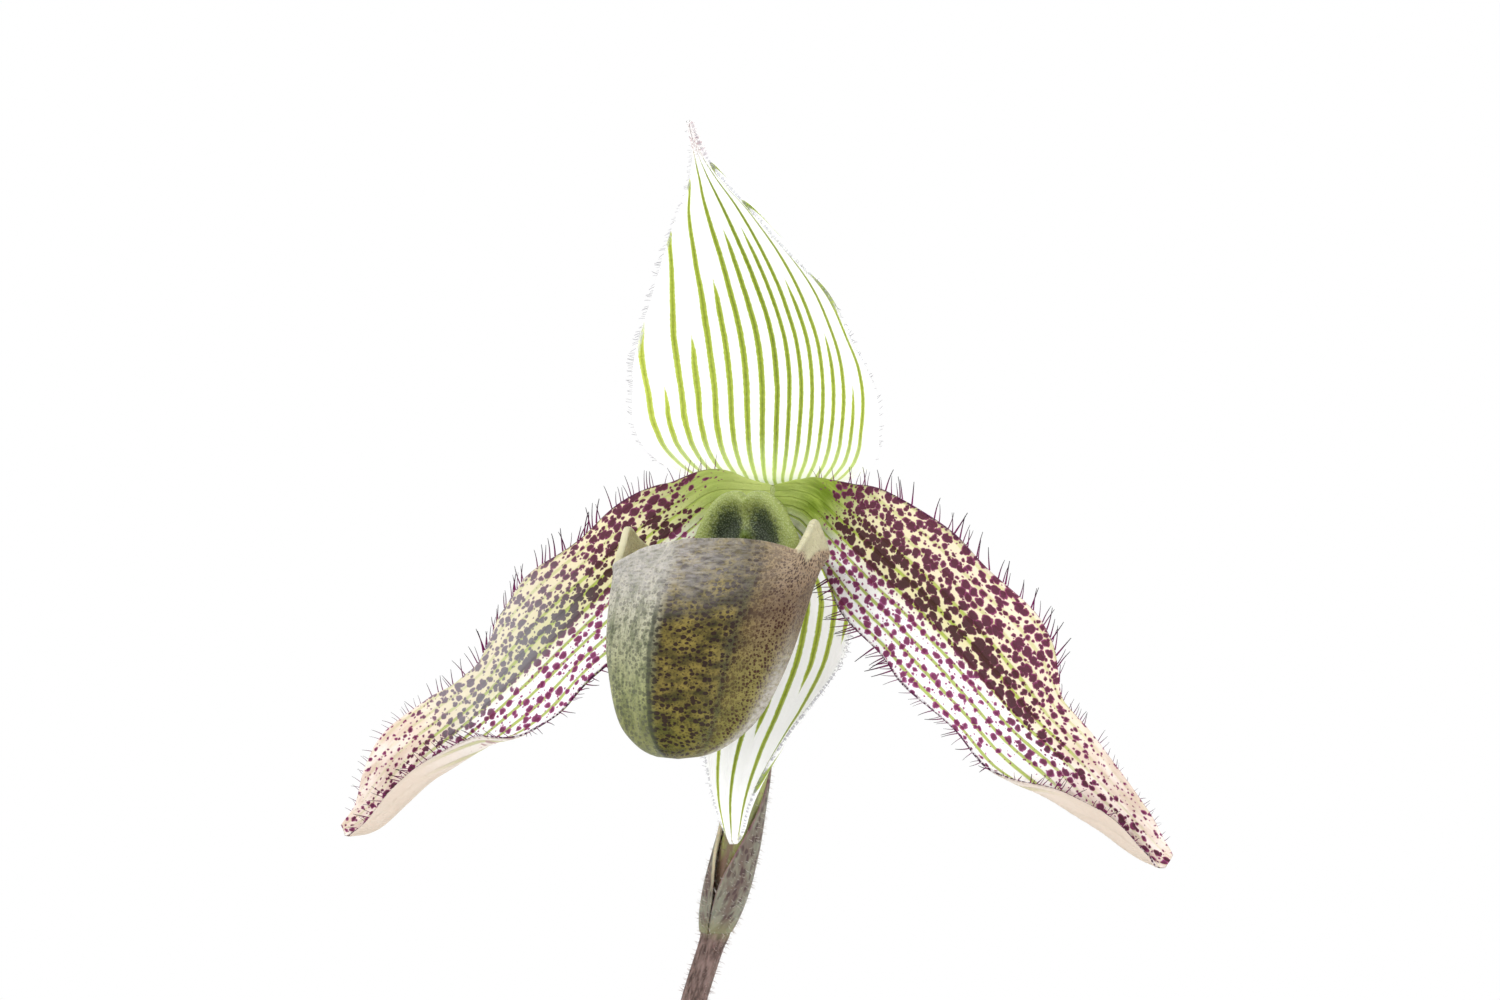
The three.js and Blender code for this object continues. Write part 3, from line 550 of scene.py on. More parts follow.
class Recipe:
    """A geometry tree under way, with named inputs."""

    def __init__(self, name, **inputs):
        self.tree = bpy.data.node_groups.new(name, "GeometryNodeTree")
        face = self.tree.interface
        face.new_socket("Geometry", in_out="INPUT", socket_type="NodeSocketGeometry")
        for label, kind in inputs.items():
            face.new_socket(label, in_out="INPUT", socket_type=SOCKETS[kind])
        face.new_socket("Geometry", in_out="OUTPUT", socket_type="NodeSocketGeometry")
        group = self.tree.nodes.new("NodeGroupInput")
        self.given = {socket.name: Output(socket) for socket in group.outputs}

    def add(self, kind, sockets=None, out=0, **settings):
        """One output of a new node of this tree."""
        return Output(add_node(self.tree, kind, sockets, **settings).outputs[out])

    def attribute(self, name, kind):
        return self.add("GeometryNodeInputNamedAttribute", {"Name": name}, data_type=kind)

    def stored(self, geometry, name, value, domain):
        """The geometry with a value kept on it under a name."""
        sockets = {"Geometry": geometry, "Name": name, "Value": value}
        return self.add("GeometryNodeStoreNamedAttribute", sockets, data_type="FLOAT", domain=domain)

    def chance(self, low, high, shift):
        """A random number for each point, repeatable by the recipe's Seed."""
        sockets = {2: low, 3: high, "Seed": self.given["Seed"] + shift}
        return self.add("FunctionNodeRandomValue", sockets, out=1)

    def chances(self, low, high, shift):
        """Three random numbers for each point."""
        sockets = {0: (low,) * 3, 1: (high,) * 3, "Seed": self.given["Seed"] + shift}
        return self.add("FunctionNodeRandomValue", sockets, data_type="FLOAT_VECTOR")

    def turned(self, euler):
        return self.add("FunctionNodeEulerToRotation", {0: euler})

    def aimed(self, direction, spread):
        """The turn that stands an instance up along a direction, give or take a spread."""
        sockets = {"Vector": direction + self.chances(-1.0, 1.0, 1) * spread}
        return self.add("FunctionNodeAlignRotationToVector", sockets, axis="Z")

    def placed(self, points, instance, rotation, scale, **more):
        sockets = {"Points": points, "Instance": instance, "Rotation": rotation, "Scale": scale, **more}
        return self.add("GeometryNodeInstanceOnPoints", sockets)

    def finish(self, instances, shaped=None):
        """Make the instances real, shape them once more if asked, and give them their material."""
        real = self.add("GeometryNodeRealizeInstances", {0: instances})
        if shaped is not None:
            real = shaped(real)
        smooth = self.add("GeometryNodeSetShadeSmooth", {0: real})
        sockets = {"Geometry": smooth, "Material": self.given["Material"]}
        end = self.tree.nodes.new("NodeGroupOutput")
        self.tree.links.new(self.add("GeometryNodeSetMaterial", sockets).socket, end.inputs[0])
        print("recipe", self.tree.name, "has", len(self.tree.nodes), "nodes")
        return self.tree


def grown(name, source, recipe, **inputs):
    """A new piece: what the recipe grows on the source mesh."""
    piece = bpy.data.objects.new(name, source)
    scene.collection.objects.link(piece)
    modifier = piece.modifiers.new(recipe.name, "NODES")
    modifier.node_group = recipe
    for socket in recipe.interface.items_tree:
        if socket.in_out == "INPUT" and socket.name in inputs:
            modifier[socket.identifier] = inputs[socket.name]
    print(name, "has", plain_mesh(piece), "faces")
    return piece


# %% [markdown]
# ## Bark mix
# The pot is filled with coarse bark. The plug under the surface only has to fill the pot, so it is
# turned like the pot. The chips on top are boxes that Geometry Nodes scatter over it, turn about and
# then roughen by a noise read at each corner's own place, so no two end up alike. An attribute called
# free keeps them off the crown, where the leaves come up.

# %% Bark
bark_paint = Finish("bark", Roughness=0.92, Specular_IOR_Level=0.2)
place = bark_paint.here()
fibre = noise(place * (1, 1, 2.5), 1.1, 5, 0.65, 0.6)
patch = noise(place, 6, 3)
tone = bark_paint.mark("tone")
brown = mix(tone, (82, 54, 38), (146, 104, 74))
brown = mix(step(patch, 0.45, 0.7), brown, (112, 84, 66))
brown = mix(step(fibre, 0.5, 0.38), brown, (48, 32, 24))
bark_paint.relief(fibre, 0.5)
bark = bark_paint.done(brown)

# %% A recipe for chips
chips = Recipe("scatter_chips", Spacing=float, Length=float, Width=float, Height=float, Rough=float,
               Seed=int, Material=object)
given = chips.given
sockets = {"Mesh": given["Geometry"], "Distance Min": given["Spacing"], "Density Max": 60000.0,
           "Density Factor": chips.attribute("free", "FLOAT"), "Seed": given["Seed"]}
points = chips.add("GeometryNodeDistributePointsOnFaces", sockets, distribute_method="POISSON")
size = chips.add("ShaderNodeCombineXYZ", {0: given["Length"], 1: given["Width"], 2: given["Height"]})
chip = chips.add("GeometryNodeMeshCube", {"Size": size, "Vertices X": 6, "Vertices Y": 5,
                                          "Vertices Z": 3})
turn = chips.turned(chips.chances(-1.0, 1.0, 1) * (0.5, 0.5, 3.14))
scattered = chips.placed(points, chip, turn, chips.chances(0.6, 1.25, 2))
scattered = chips.stored(scattered, "tone", chips.chance(0.0, 1.0, 3), "INSTANCE")


def roughened(real):
    """Push each corner about by a noise read at its own place."""
    where = chips.add("GeometryNodeInputPosition")
    push = chips.add("ShaderNodeTexNoise", {"Vector": where, "Scale": 160.0, "Detail": 2.0}, out=1)
    offset = (push - 0.5) * chips.given["Rough"]
    return chips.add("GeometryNodeSetPosition", {"Geometry": real, "Offset": offset})


scatter_chips = chips.finish(scattered, roughened)

# %% Plug and chips
MIX_PROFILE = [[0, 6.3], [29.9, 6.3], [31.7, 7.5], [44.5, 73.5], [43.6, 75.4], [40, 75.8], [36, 76],
               [31, 76.2], [26, 76.4], [21, 76.6], [16, 76.8], [10, 77], [4, 77], [0, 77]]
FAN_DEGREES = 14
CROWN_LENGTH, CROWN_WIDTH = 19, 10.5
CHIPS_ABOVE, CHIPS_WITHIN = 75.6, 41
points, faces, marks = lathe(MIX_PROFILE, 64)
x, y, z = points.T
cosine, sine = math.cos(math.radians(FAN_DEGREES)), math.sin(math.radians(FAN_DEGREES))
from_crown = np.hypot((x * cosine + y * sine) / CROWN_LENGTH, (y * cosine - x * sine) / CROWN_WIDTH)
on_top = (z > CHIPS_ABOVE) * (np.hypot(x, y) < CHIPS_WITHIN)
marks["free"] = fade(from_crown, 0.95, 1.1) * on_top
marks["tone"] = np.full(len(points), 0.1)
plug = piece_from("bark_plug", (points, faces, marks), bark)
dress(plug, "bark", "potting_mix")
bark_chips = grown("bark_chips", plug.data, scatter_chips, Spacing=0.0046, Length=0.0125, Width=0.0085,
                   Height=0.0042, Rough=0.006, Seed=5, Material=bark)
dress(bark_chips, "bark")

# %% [markdown]
# ## Blades
# Leaves, petals and sepals are one idea: a midrib, a width to each side, and a blade that folds at
# the rib, cups across, may roll at its margin and may tuck a strip of it over its own face. The
# function walks outwards from the rib in short steps and turns a little at each, so a rolled margin
# keeps its true width. It returns a grid of points on the middle of the blade, which then gets its
# thickness.

# %% A blade from its midrib
STEPS_OUT = 24
TUCK_SOFTNESS = 0.14


def blade_grid(form, along, across, seed):
    """Grids of the blade's middle surface, the place s along it, t across it and half widths."""
    start = form.get("start", 0.0)
    share = np.linspace(start, 1, along + 1)
    spread = np.linspace(-1, 1, 2 * across + 1)
    s, t = np.meshgrid(share, 1.6 * spread - 0.6 * spread * abs(spread), indexing="ij")
    rib_line = line_through(form["rib"])

    def rib(place):
        """The rib's line, carried on below its first point to the foot."""
        below = (np.minimum(place, 0) / (start or 1))[..., None]
        return rib_line(np.clip(place, 0, 1)) + below * (form.get("foot", rib_line(0.0)) - rib_line(0.0))

    ahead = unit(rib(np.minimum(share + 0.01, 1)) - rib(share - 0.01))[:, None]
    facing = np.array(form["facing"], float)
    up = unit(facing - (ahead @ facing)[..., None] * ahead)
    out = np.cross(ahead, up)
    out *= np.sign(out @ np.array(form["towards"], float))[..., None]
    half = (t >= 0).astype(int)
    reach = abs(t)
    width = np.take_along_axis(table(form["widths"])(s), half[..., None], -1)[..., 0]
    bends = table(form["bends"])(np.clip(s, 0, 1))
    fold, curl, roll = (np.take_along_axis(bends, half[..., None] + k, -1) for k in (0, 2, 4))
    tuck, at = np.moveaxis(table(form.get("tuck", [[0, 0, 0.6], [1, 0, 0.6]]))(np.clip(s, 0, 1)), -1, 0)
    r = reach[..., None] * (np.arange(STEPS_OUT) + 0.5) / STEPS_OUT
    angle = fold * (1 - (1 - r) ** 4) + curl * r**2 + roll * r**6
    at = at[..., None]
    angle += (tuck * (1 - half))[..., None] * fade(r, at - TUCK_SOFTNESS, at + TUCK_SOFTNESS)
    angle = np.radians(angle)
    sideways = np.cos(angle).mean(-1) * width * reach * np.sign(t)
    rise = np.sin(angle).mean(-1) * width * reach
    height, count, turn = form.get("wave", (0, 1, 0))
    swell = height * reach**3 * np.sin(s * count * 2 * np.pi + turn + half)
    rise += swell * np.sin(np.pi * np.clip(s, 0, 1))
    middle = rib(s) + out * sideways[..., None] + up * rise[..., None]
    return {"middle": middle, "up": up, "s": s, "t": t, "width": width, "length": length_of(rib_line),
            "start": start, "seed": seed, "thick": form["thick"]}


print("a blade takes", STEPS_OUT, "steps from its rib to its margin")

# %% The skin of a blade
SIDE_ROUND, END_ROUND = 14, 90


def blade_skin(grid, place, lift=0, **marks):
    """The closed skin of a blade: lift moves both faces out of the middle, in millimetres."""
    middle, s, t = grid["middle"], grid["s"], grid["t"]
    normal = unit(np.cross(np.gradient(middle, axis=0), np.gradient(middle, axis=1)))
    normal *= np.sign((normal * grid["up"]).sum())
    rib, edge = grid["thick"]
    ends = 2 * (s - grid["start"]) / (1 - grid["start"]) - 1
    round_side = np.sqrt(np.clip(1 - abs(t) ** SIDE_ROUND, 0, 1))
    round_end = np.sqrt(np.clip(1 - abs(ends) ** END_ROUND, 0, 1))
    half = (edge + (rib - edge) * (1 - abs(t)) ** 2) / 2 * (round_side * round_end)
    middle = middle + normal * np.asarray(lift)[..., None]
    front = place(middle + normal * half[..., None])
    back = place(middle - normal * half[..., None])
    flat = np.stack([s * grid["length"] + grid["seed"], t * grid["width"], 0 * s], -1)
    return skin(front, back, flat=flat, along=s, across=t, **marks)


def turner(degrees, x=0, y=0, z=0):
    """A function that turns points about Z and then moves them."""
    cosine, sine = math.cos(math.radians(degrees)), math.sin(math.radians(degrees))
    turn = np.array([[cosine, sine, 0], [-sine, cosine, 0], [0, 0, 1]])
    return lambda points: np.asarray(points, float) @ turn + [x, y, z]


print("a quarter turn takes [1, 0, 0] to", turner(90)([1, 0, 0]).round(3))

# %% [markdown]
# ## Leaves
# The six leaves are marbled: dark green blocks between paler veins, broken across their length, with
# a pale net. Underneath, close to the crown, they are flecked with purple. The marbling follows the
# leaf, so its cells are drawn on the flat attribute, which is the leaf laid out flat in millimetres.

# %% Marbled leaf
leaf_paint = Finish("marbled_leaf", Specular_IOR_Level=0.55, Subsurface_Weight=0.12,
                    Subsurface_Scale=0.001, Subsurface_Radius=(0.6, 1.0, 0.3))
flat = leaf_paint.marks("flat")
across = leaf_paint.mark("across")
blocks = shaken(flat * (0.42, 1.0, 1.0), 3.0, 0.9)
block_cells = cells(blocks, 3.3)
block_edge = cells(blocks, 3.3, "DISTANCE_TO_EDGE")
clouds = noise(flat * (0.5, 1.0, 1.0), 7, 3)
veins = from_whole(across * 6.0)
green = mix(parts(block_cells[1])[0], (46, 82, 40), (78, 116, 56))
net = step(block_edge[0], 0.13, 0.02) * step(clouds, 0.35, 0.6)
green = mix(step(clouds, 0.5, 0.68) * 0.7, green, (132, 158, 98))
green = mix(net, green, (156, 178, 116))
green = mix(step(veins, 0.05, 0.0) * 0.25, green, (34, 62, 34))
flecks = cells(shaken(flat, 0.8, 0.2), 0.9)
under = step(leaf_paint.mark("side"), 0.2, -0.2)
near_crown = step(leaf_paint.mark("along"), 0.75, 0.15)
fleck = step(flecks[0], 0.36, 0.26) * near_crown
below = mix(clouds, (120, 148, 92), (96, 128, 78))
below = mix(fleck, below, (98, 46, 68))
leaf_paint.relief(veins + block_edge[0] * 0.6, 0.3)
marbled_leaf = leaf_paint.done(mix(under, green, below), step(clouds, 0.3, 0.7, 0.34, 0.5))

# %% Six leaves of one fan
LEAVES = {
    "leaf_1": (1, 22, [[12, 0, 70], [13, 0, 84], [20, 0, 102], [44, 1, 120], [82, 5, 124], [116, 11, 106],
                       [134, 15, 84]]),
    "leaf_2": (-1, 23, [[12.4, 0, 70], [13.6, 0, 84], [21, -1, 104], [46, -3, 126], [84, -8, 134],
                        [118, -15, 118], [138, -20, 94]]),
    "leaf_3": (1, 21, [[8.2, 0, 71], [9, 0, 86], [14.5, 0, 110], [36, -3, 142], [70, -9, 160],
                       [104, -16, 156], [122, -20, 144]]),
    "leaf_4": (-1, 21, [[8.6, 0, 71], [9.4, 0, 86], [14.5, 1, 112], [34, 5, 148], [64, 11, 170],
                        [94, 18, 170], [112, 22, 160]]),
    "leaf_5": (1, 17, [[4.6, 0, 72], [5.2, 0, 86], [9, 1, 112], [22, 5, 146], [44, 12, 172],
                       [66, 19, 182], [78, 23, 182]]),
    "leaf_6": (-1, 14, [[5, 0, 72], [5.5, 0, 86], [8, 0, 108], [16, -2, 138], [28, -5, 160],
                        [42, -9, 171], [50, -11, 173]]),
}
LEAF_WIDTHS = [[0, 0.25], [0.12, 0.28], [0.25, 0.5], [0.4, 0.82], [0.6, 1], [0.78, 0.9], [0.9, 0.58],
               [0.97, 0.26], [1, 0.06]]
LEAF_BENDS = [[0, 48, 48, 4, 4, 0, 0], [0.15, 46, 46, 4, 4, 0, 0], [0.3, 36, 36, -5, -5, 0, 0],
              [0.55, 24, 24, -12, -12, 0, 0], [1, 14, 14, -8, -8, 0, 0]]
for seed, (name, (out, width, rib)) in enumerate(LEAVES.items()):
    base = min(1, width / 20)
    widths = [[s, *[share * width * (base if s < 0.2 else 1)] * 2] for s, share in LEAF_WIDTHS]
    form = {"rib": [[out * x, y, z] for x, y, z in rib], "widths": widths, "bends": LEAF_BENDS,
            "facing": [-0.6 * out, 0, 1], "towards": [0, 1, 0], "wave": (1.2, 2.6, width),
            "thick": (1.7, 0.9)}
    grid = blade_grid(form, 90, 16, 40.0 * seed)
    channel = -0.35 * hump(grid["t"], 0, 0.06)
    leaf = piece_from(name + "_blade", blade_skin(grid, turner(FAN_DEGREES), channel), marbled_leaf)
    dress(leaf, "mottled_leaf", name)

# %% [markdown]
# ## Stalks
# The scape, and the ovary above it, are tubes of changing radius along a line. The ovary has three
# low ribs. Their rings are built across the line, and the attribute flat holds the place along and
# around in millimetres.

# %% Purple stalk
stalk_paint = Finish("hairy_stalk", Specular_IOR_Level=0.3, Roughness=0.7, Subsurface_Weight=0.1,
                     Subsurface_Scale=0.0006)
flat = stalk_paint.marks("flat")
streak = noise(flat * (0.3, 1, 1), 0.5, 4, 0.65)
blush = noise(flat * (0.3, 1, 1), 5, 3)
skin_tone = mix(step(streak, 0.3, 0.7), (62, 46, 40), (132, 110, 104))
skin_tone = mix(step(blush, 0.5, 0.75, 0.0, 0.6), skin_tone, (118, 112, 88))
under_bract = step(stalk_paint.mark("along"), 0.982, 0.992, 0.0, 0.8)
skin_tone = mix(under_bract, skin_tone, (128, 124, 92))
lower = step(stalk_paint.mark("along"), 0.75, 0.1, 0.0, 0.5)
skin_tone = mix(lower, skin_tone, (104, 100, 66))
stalk_paint.relief(streak, 0.12)
hairy_stalk = stalk_paint.done(skin_tone)

# %% Green ovary
ovary_paint = Finish("ovary_skin", Specular_IOR_Level=0.35, Roughness=0.6, Subsurface_Weight=0.15,
                     Subsurface_Scale=0.0008)
turn = maths("RADIANS", ovary_paint.mark("turn"))
groove = maths("COSINE", turn * 6.0)
fine = noise(ovary_paint.marks("flat") * (0.2, 1, 1), 0.6, 3)
green = mix(step(groove, -0.6, 0.8), (158, 166, 100), (126, 136, 84))
brown = step(fine * 0.5 + ovary_paint.mark("along"), 0.55, 0.35, 0.1, 0.9)
green = mix(brown, green, (112, 84, 74))
ovary_paint.relief(groove + fine, 0.1)
ovary_skin = ovary_paint.done(green)

# %% Scape and ovary
def stalk(path, radii, along, around):
    """A tube along a path. A row of radii gives the place, the radius and the height of three ribs."""
    line, size = line_through(path), table(radii)
    s = np.linspace(0, 1, along + 1)
    ahead = unit(line(np.minimum(s + 0.01, 1)) - line(np.maximum(s - 0.01, 0)))
    side = unit(np.array([1, 0, 0]) - ahead[:, :1] * ahead)
    other = np.cross(ahead, side)
    angle = once_round(around)
    radius = size(s)[:, :1] + size(s)[:, 1:] * np.cos(3 * angle)
    spoke = side[:, None] * np.cos(angle)[:, None] + other[:, None] * np.sin(angle)[:, None]
    rings = line(s)[:, None] + spoke * radius[..., None]
    s = np.repeat(s[:, None], around, 1)
    flat = np.stack([s * length_of(line), np.cos(angle) * radius, np.sin(angle) * radius], -1)
    turn = np.repeat(np.degrees(angle)[None], along + 1, 0)
    return loft(rings, line(0.0), line(1.0), flat=flat, along=s, turn=turn)


SCAPE_PATH = [[0, 0.4, 70], [0.6, 1, 100], [4.2, 4, 150], [9.8, 8, 200], [16.4, 11, 240], [21.4, 12, 260],
              [24.4, 12, 269.6], [24.9, 12, 271.4]]
SCAPE_RADII = [[0, 1.95, 0], [0.9, 1.55, 0], [0.978, 1.55, 0], [0.992, 1.85, 0], [1, 1.3, 0]]
OVARY_PATH = [[24.5, 12, 270], [26.2, 12.2, 276.7], [27.7, 11.8, 283.3], [29.2, 10.2, 294],
              [30.8, 7, 307], [32, 2.8, 316.6], [33, -2, 321.2]]
OVARY_RADII = [[0, 1.2, 0], [0.08, 1.75, 0.08], [0.18, 2.15, 0.1], [0.3, 2.1, 0.15], [0.5, 2, 0.28],
               [0.8, 2.1, 0.3], [0.93, 1.9, 0.1], [1, 2.2, 0]]
scape = piece_from("scape_stalk", stalk(SCAPE_PATH, SCAPE_RADII, 160, 24), hairy_stalk)
dress(scape, "hairy_stalk", "scape")
ovary = piece_from("ovary_stalk", stalk(OVARY_PATH, OVARY_RADII, 60, 36), ovary_skin)
dress(ovary, "ovary_skin", "ovary")

# %% [markdown]
# ## Bract
# A small leaf wraps the foot of the ovary and ends in a point behind it. It is a grid wound round the
# ovary's line, grey green with brown flecks. Its inside is painted paler: painted light in the shade
# between it and the ovary. Its left edge laps over the right one, which has a touch of magenta.

# %% Bract paint
bract_paint = Finish("bract_skin", Specular_IOR_Level=0.3, Roughness=0.65, Subsurface_Weight=0.2,
                     Subsurface_Scale=0.0008)
flat = bract_paint.marks("flat")
fleck = cells(shaken(flat * (0.5, 1, 1), 0.6, 0.25), 0.7)
ribs = noise(flat * (0.08, 1, 1), 0.5, 2)
cloud = noise(flat * (0.5, 1, 1), 2.2, 4, 0.6)
along = bract_paint.mark("along")
ground = mix(ribs, (150, 150, 132), (104, 102, 90))
brown = step(cloud, 0.42, 0.62) * step(along, 1.0, 0.1, 0.3, 0.75)
ground = mix(brown, ground, (92, 66, 64))
freckle = step(fleck[0], 0.4, 0.2) * step(cloud, 0.35, 0.55, 0.1, 0.7)
ground = mix(freckle, ground, (64, 40, 46))
across = bract_paint.mark("across")
# Painted highlight: a pale line along the lapping left edge, from a fifth of the way up.
edge_highlight = step(across, 0.95, 0.98) * step(along, 0.2, 0.35, 0.0, 0.7)
ground = mix(edge_highlight, ground, (206, 198, 164))
ground = mix(step(across, -0.95, -0.98, 0.0, 0.35), ground, (136, 84, 104))
# Painted light: the inner face is painted paler, to brighten the shade between the bract and the ovary.
inside = step(bract_paint.mark("side"), 0.2, -0.2)
ground = mix(inside, ground, (186, 176, 150))
foot = step(along, 0.1, 0.02, 0.0, 0.8)
ground = mix(foot, ground, (132, 130, 98))
bract_paint.relief(ribs, 0.15)
bract_skin = bract_paint.done(ground)

# %% Bract wound round the ovary
BRACT_ROWS = [[0, 1.45, -122, 241], [0.03, 1.8, -122, 241], [0.08, 2.15, -122, 241],
              [0.15, 2.45, -121, 240], [0.27, 2.65, -112, 232], [0.41, 2.6, -90, 212],
              [0.52, 2.45, -68, 198], [0.65, 2.35, -36, 184], [0.8, 2.35, -2, 166], [0.95, 2.5, 50, 132],
              [1, 2.5, 84, 106]]
LAP = 0.28
OVARY_SHARE = 0.44
FOOT_SHIFT = np.array([0.35, 0, 1.2])
s, t = np.meshgrid(np.linspace(0, 1, 49), np.linspace(-1, 1, 61), indexing="ij")
radius, right, left = np.moveaxis(table(BRACT_ROWS)(s), -1, 0)
angle = np.radians(right + (left - right) * (t + 1) / 2)
radius += LAP * fade(t, 0.9, 1.0)
wound = np.stack([radius * np.cos(angle), radius * np.sin(angle), np.zeros(s.shape)], -1)
core = line_through(OVARY_PATH)(OVARY_SHARE * s) - FOOT_SHIFT * (1 - s[..., None])
grid = {"middle": core + wound, "up": wound, "s": s, "t": t, "length": 23.0, "thick": (0.7, 0.6),
        "width": radius * np.radians(left - right) / 2, "start": 0.0, "seed": 0.0}
bract = piece_from("bract_sheath", blade_skin(grid, turner(0)), bract_skin)
dress(bract, "bract_skin", "bract")

# %% [markdown]
# ## Hairs
# Two trees grow every hair. One sets stiff hairs along a margin: it samples a line of edges evenly,
# leaves some places out, and points each hair along the attribute called out. The other scatters down
# over a surface. Both use the same hair: a bent curve swept with a ring of few corners, thinner
# towards its tip. The attribute tip, 0 at the root and 1 at the end, colours it.

# %% A recipe for margins
def bent_hair(recipe, steps):
    """A hair of the recipe's Length and Radius that stands on the origin."""
    length = recipe.given["Length"]
    sockets = {"Resolution": steps, "Start": (0.0, 0.0, 0.0),
               "Middle": recipe.add("ShaderNodeCombineXYZ", {2: length * 0.55}),
               "End": recipe.add("ShaderNodeCombineXYZ", {0: length * recipe.given["Bend"], 2: length})}
    line = recipe.add("GeometryNodeCurveQuadraticBezier", sockets)
    tip = recipe.add("GeometryNodeSplineParameter")
    line = recipe.stored(line, "tip", tip, "POINT")
    sockets = {"Resolution": 4, "Radius": recipe.given["Radius"]}
    ring = recipe.add("GeometryNodeCurvePrimitiveCircle", sockets)
    sockets = {"Curve": line, "Profile Curve": ring, "Scale": tip * -0.65 + 1.0, "Fill Caps": True}
    return recipe.add("GeometryNodeCurveToMesh", sockets)


fringe = Recipe("margin_hairs", Spacing=float, Share=float, Length=float, Radius=float, Bend=float,
                Spread=float, Seed=int, Material=object)
given = fringe.given
line = fringe.add("GeometryNodeMeshToCurve", {"Mesh": given["Geometry"]})
sockets = {"Curve": line, "Length": given["Spacing"]}
line = fringe.add("GeometryNodeResampleCurve", sockets, mode="LENGTH")
spin = fringe.add("ShaderNodeCombineXYZ", {2: fringe.chance(-3.14, 3.14, 2)})
sockets = {"Rotation": fringe.aimed(fringe.attribute("out", "FLOAT_VECTOR"), given["Spread"]),
           "Rotate By": fringe.turned(spin)}
stand = fringe.add("FunctionNodeRotateRotation", sockets, rotation_space="LOCAL")
sockets = {"Probability": given["Share"], "Seed": given["Seed"] + 4}
kept = fringe.add("FunctionNodeRandomValue", sockets, out=3, data_type="BOOLEAN")
size = fringe.attribute("long", "FLOAT") * fringe.chance(0.6, 1.1, 3)
margin_hairs = fringe.finish(fringe.placed(line, bent_hair(fringe, 4), stand, size, Selection=kept))

# %% A recipe for down
down = Recipe("surface_down", Density=float, Length=float, Radius=float, Bend=float, Lean=float,
              Seed=int, Material=object)
given = down.given
sockets = {"Mesh": given["Geometry"], "Density": given["Density"], "Seed": given["Seed"]}
roots = add_node(down.tree, "GeometryNodeDistributePointsOnFaces", sockets).outputs
stand = down.aimed(Output(roots["Normal"]), given["Lean"])
surface_down = down.finish(down.placed(Output(roots["Points"]), bent_hair(down, 2), stand,
                                       down.chance(0.5, 1.1, 2)))

# %% [markdown]
# ## Down on the stalks
# Short hairs stand all over the scape, the bract and the ovary. They are pale, so against the white
# they read as a soft outline.

# %% Down
def hair_finish(name, root, end):
    """A hair that changes from one colour at its root to another at its tip."""
    made = Finish(name, Roughness=0.6, Specular_IOR_Level=0.1)
    return made.done(mix(step(made.mark("tip"), 0.1, 0.9), root, end))


stalk_hair = hair_finish("stalk_hair", (120, 84, 84), (190, 170, 160))
bract_hair = hair_finish("bract_hair", (170, 160, 150), (225, 220, 214))
for name, source, slot, density, length, seed in [
    ("scape_down", scape, "hairy_stalk", 2.6e6, 0.0007, 3),
    ("ovary_down", ovary, "ovary_skin", 3e6, 0.0005, 4),
    ("bract_down", bract, "bract_skin", 2e6, 0.0006, 6),
]:
    hair = bract_hair if source is bract else stalk_hair
    dress(grown(name, source.data, surface_down, Density=density, Length=length, Radius=0.00003, Bend=0.2,
                Lean=0.5, Seed=seed, Material=hair), slot)

# %% [markdown]
# ## Sepals
# The dorsal sepal stands over the bloom, and the synsepal hangs behind the lip. Both are white with
# green veins that fan out from the base and close again towards the tip, about two millimetres
# apart. The attribute vein counts them: a whole number lies on a vein, and the helper from_whole gives
# the distance from the nearest one. Every other vein stops part of the way up, as there is no room
# for it higher up.

# %% Striped sepal
sepal_paint = Finish("striped_sepal", Specular_IOR_Level=0.3, Roughness=0.55, Subsurface_Weight=1.0,
                     Subsurface_Scale=0.0048, Subsurface_Radius=(1.0, 1.0, 0.95))
flat = sepal_paint.marks("flat")
wobble = noise(flat * (0.25, 1, 1), 2.2, 2)
count = sepal_paint.mark("vein") + (wobble * 0.16 - 0.08)
off_vein = from_whole(count)
odd = step(maths("PINGPONG", count, 1.0), 0.45, 0.55)
stops = abs(count) * -0.075 + 0.8
past = sepal_paint.mark("along") - stops
stopped = odd * step(past, -0.14, 0.03, 0.0, 0.35)
reach = off_vein + stopped
vein_edge = noise(flat, 0.5, 2)
reach = reach + (vein_edge * 0.08 - 0.04)
outside = step(abs(count), 8.45, 8.4)
on_vein = step(reach, 0.24, 0.16) * outside
halo = step(reach, 0.32, 0.16, 0.0, 0.25) * outside
petal_white = mix(noise(flat, 5), (251, 252, 253), (243, 245, 251))
vein_green = mix(step(reach, 0.13, 0.02), (126, 142, 22), (74, 92, 2))
vein_green = mix(vein_edge * 0.4, vein_green, (160, 176, 60))
striped = mix(halo, petal_white, (216, 230, 170))
striped = mix(on_vein, striped, vein_green)
base_green = step(sepal_paint.mark("along"), 0.12, 0.0)
striped = mix(base_green * 0.5, striped, (186, 208, 110))
tip_flecks = cells(flat, 0.42)
pale_tip = mix(step(tip_flecks[0], 0.36, 0.24), (212, 204, 204), (166, 146, 150))
striped = mix(sepal_paint.mark("tipped"), striped, pale_tip)
beads = cells(flat, 0.3)
rim = sepal_paint.mark("rim") * step(beads[0], 0.6, 0.3, 0.3, 1.0)
striped = mix(rim, striped, (104, 104, 118))
sepal_paint.relief(step(off_vein, 0.0, 0.3) + vein_edge * 0.3, 0.14)
striped_sepal = sepal_paint.done(striped)

# %% The bloom's frame
FRONT = [0, -1, 0]
BLOOM_DEGREES = -28
BLOOM_CENTRE = (30, -8, 323)
in_bloom = turner(BLOOM_DEGREES, *BLOOM_CENTRE)


def forward(rows):
    """Points given as [right, ahead, up] of the bloom's centre."""
    return [[right, -ahead, up] for right, ahead, up in rows]


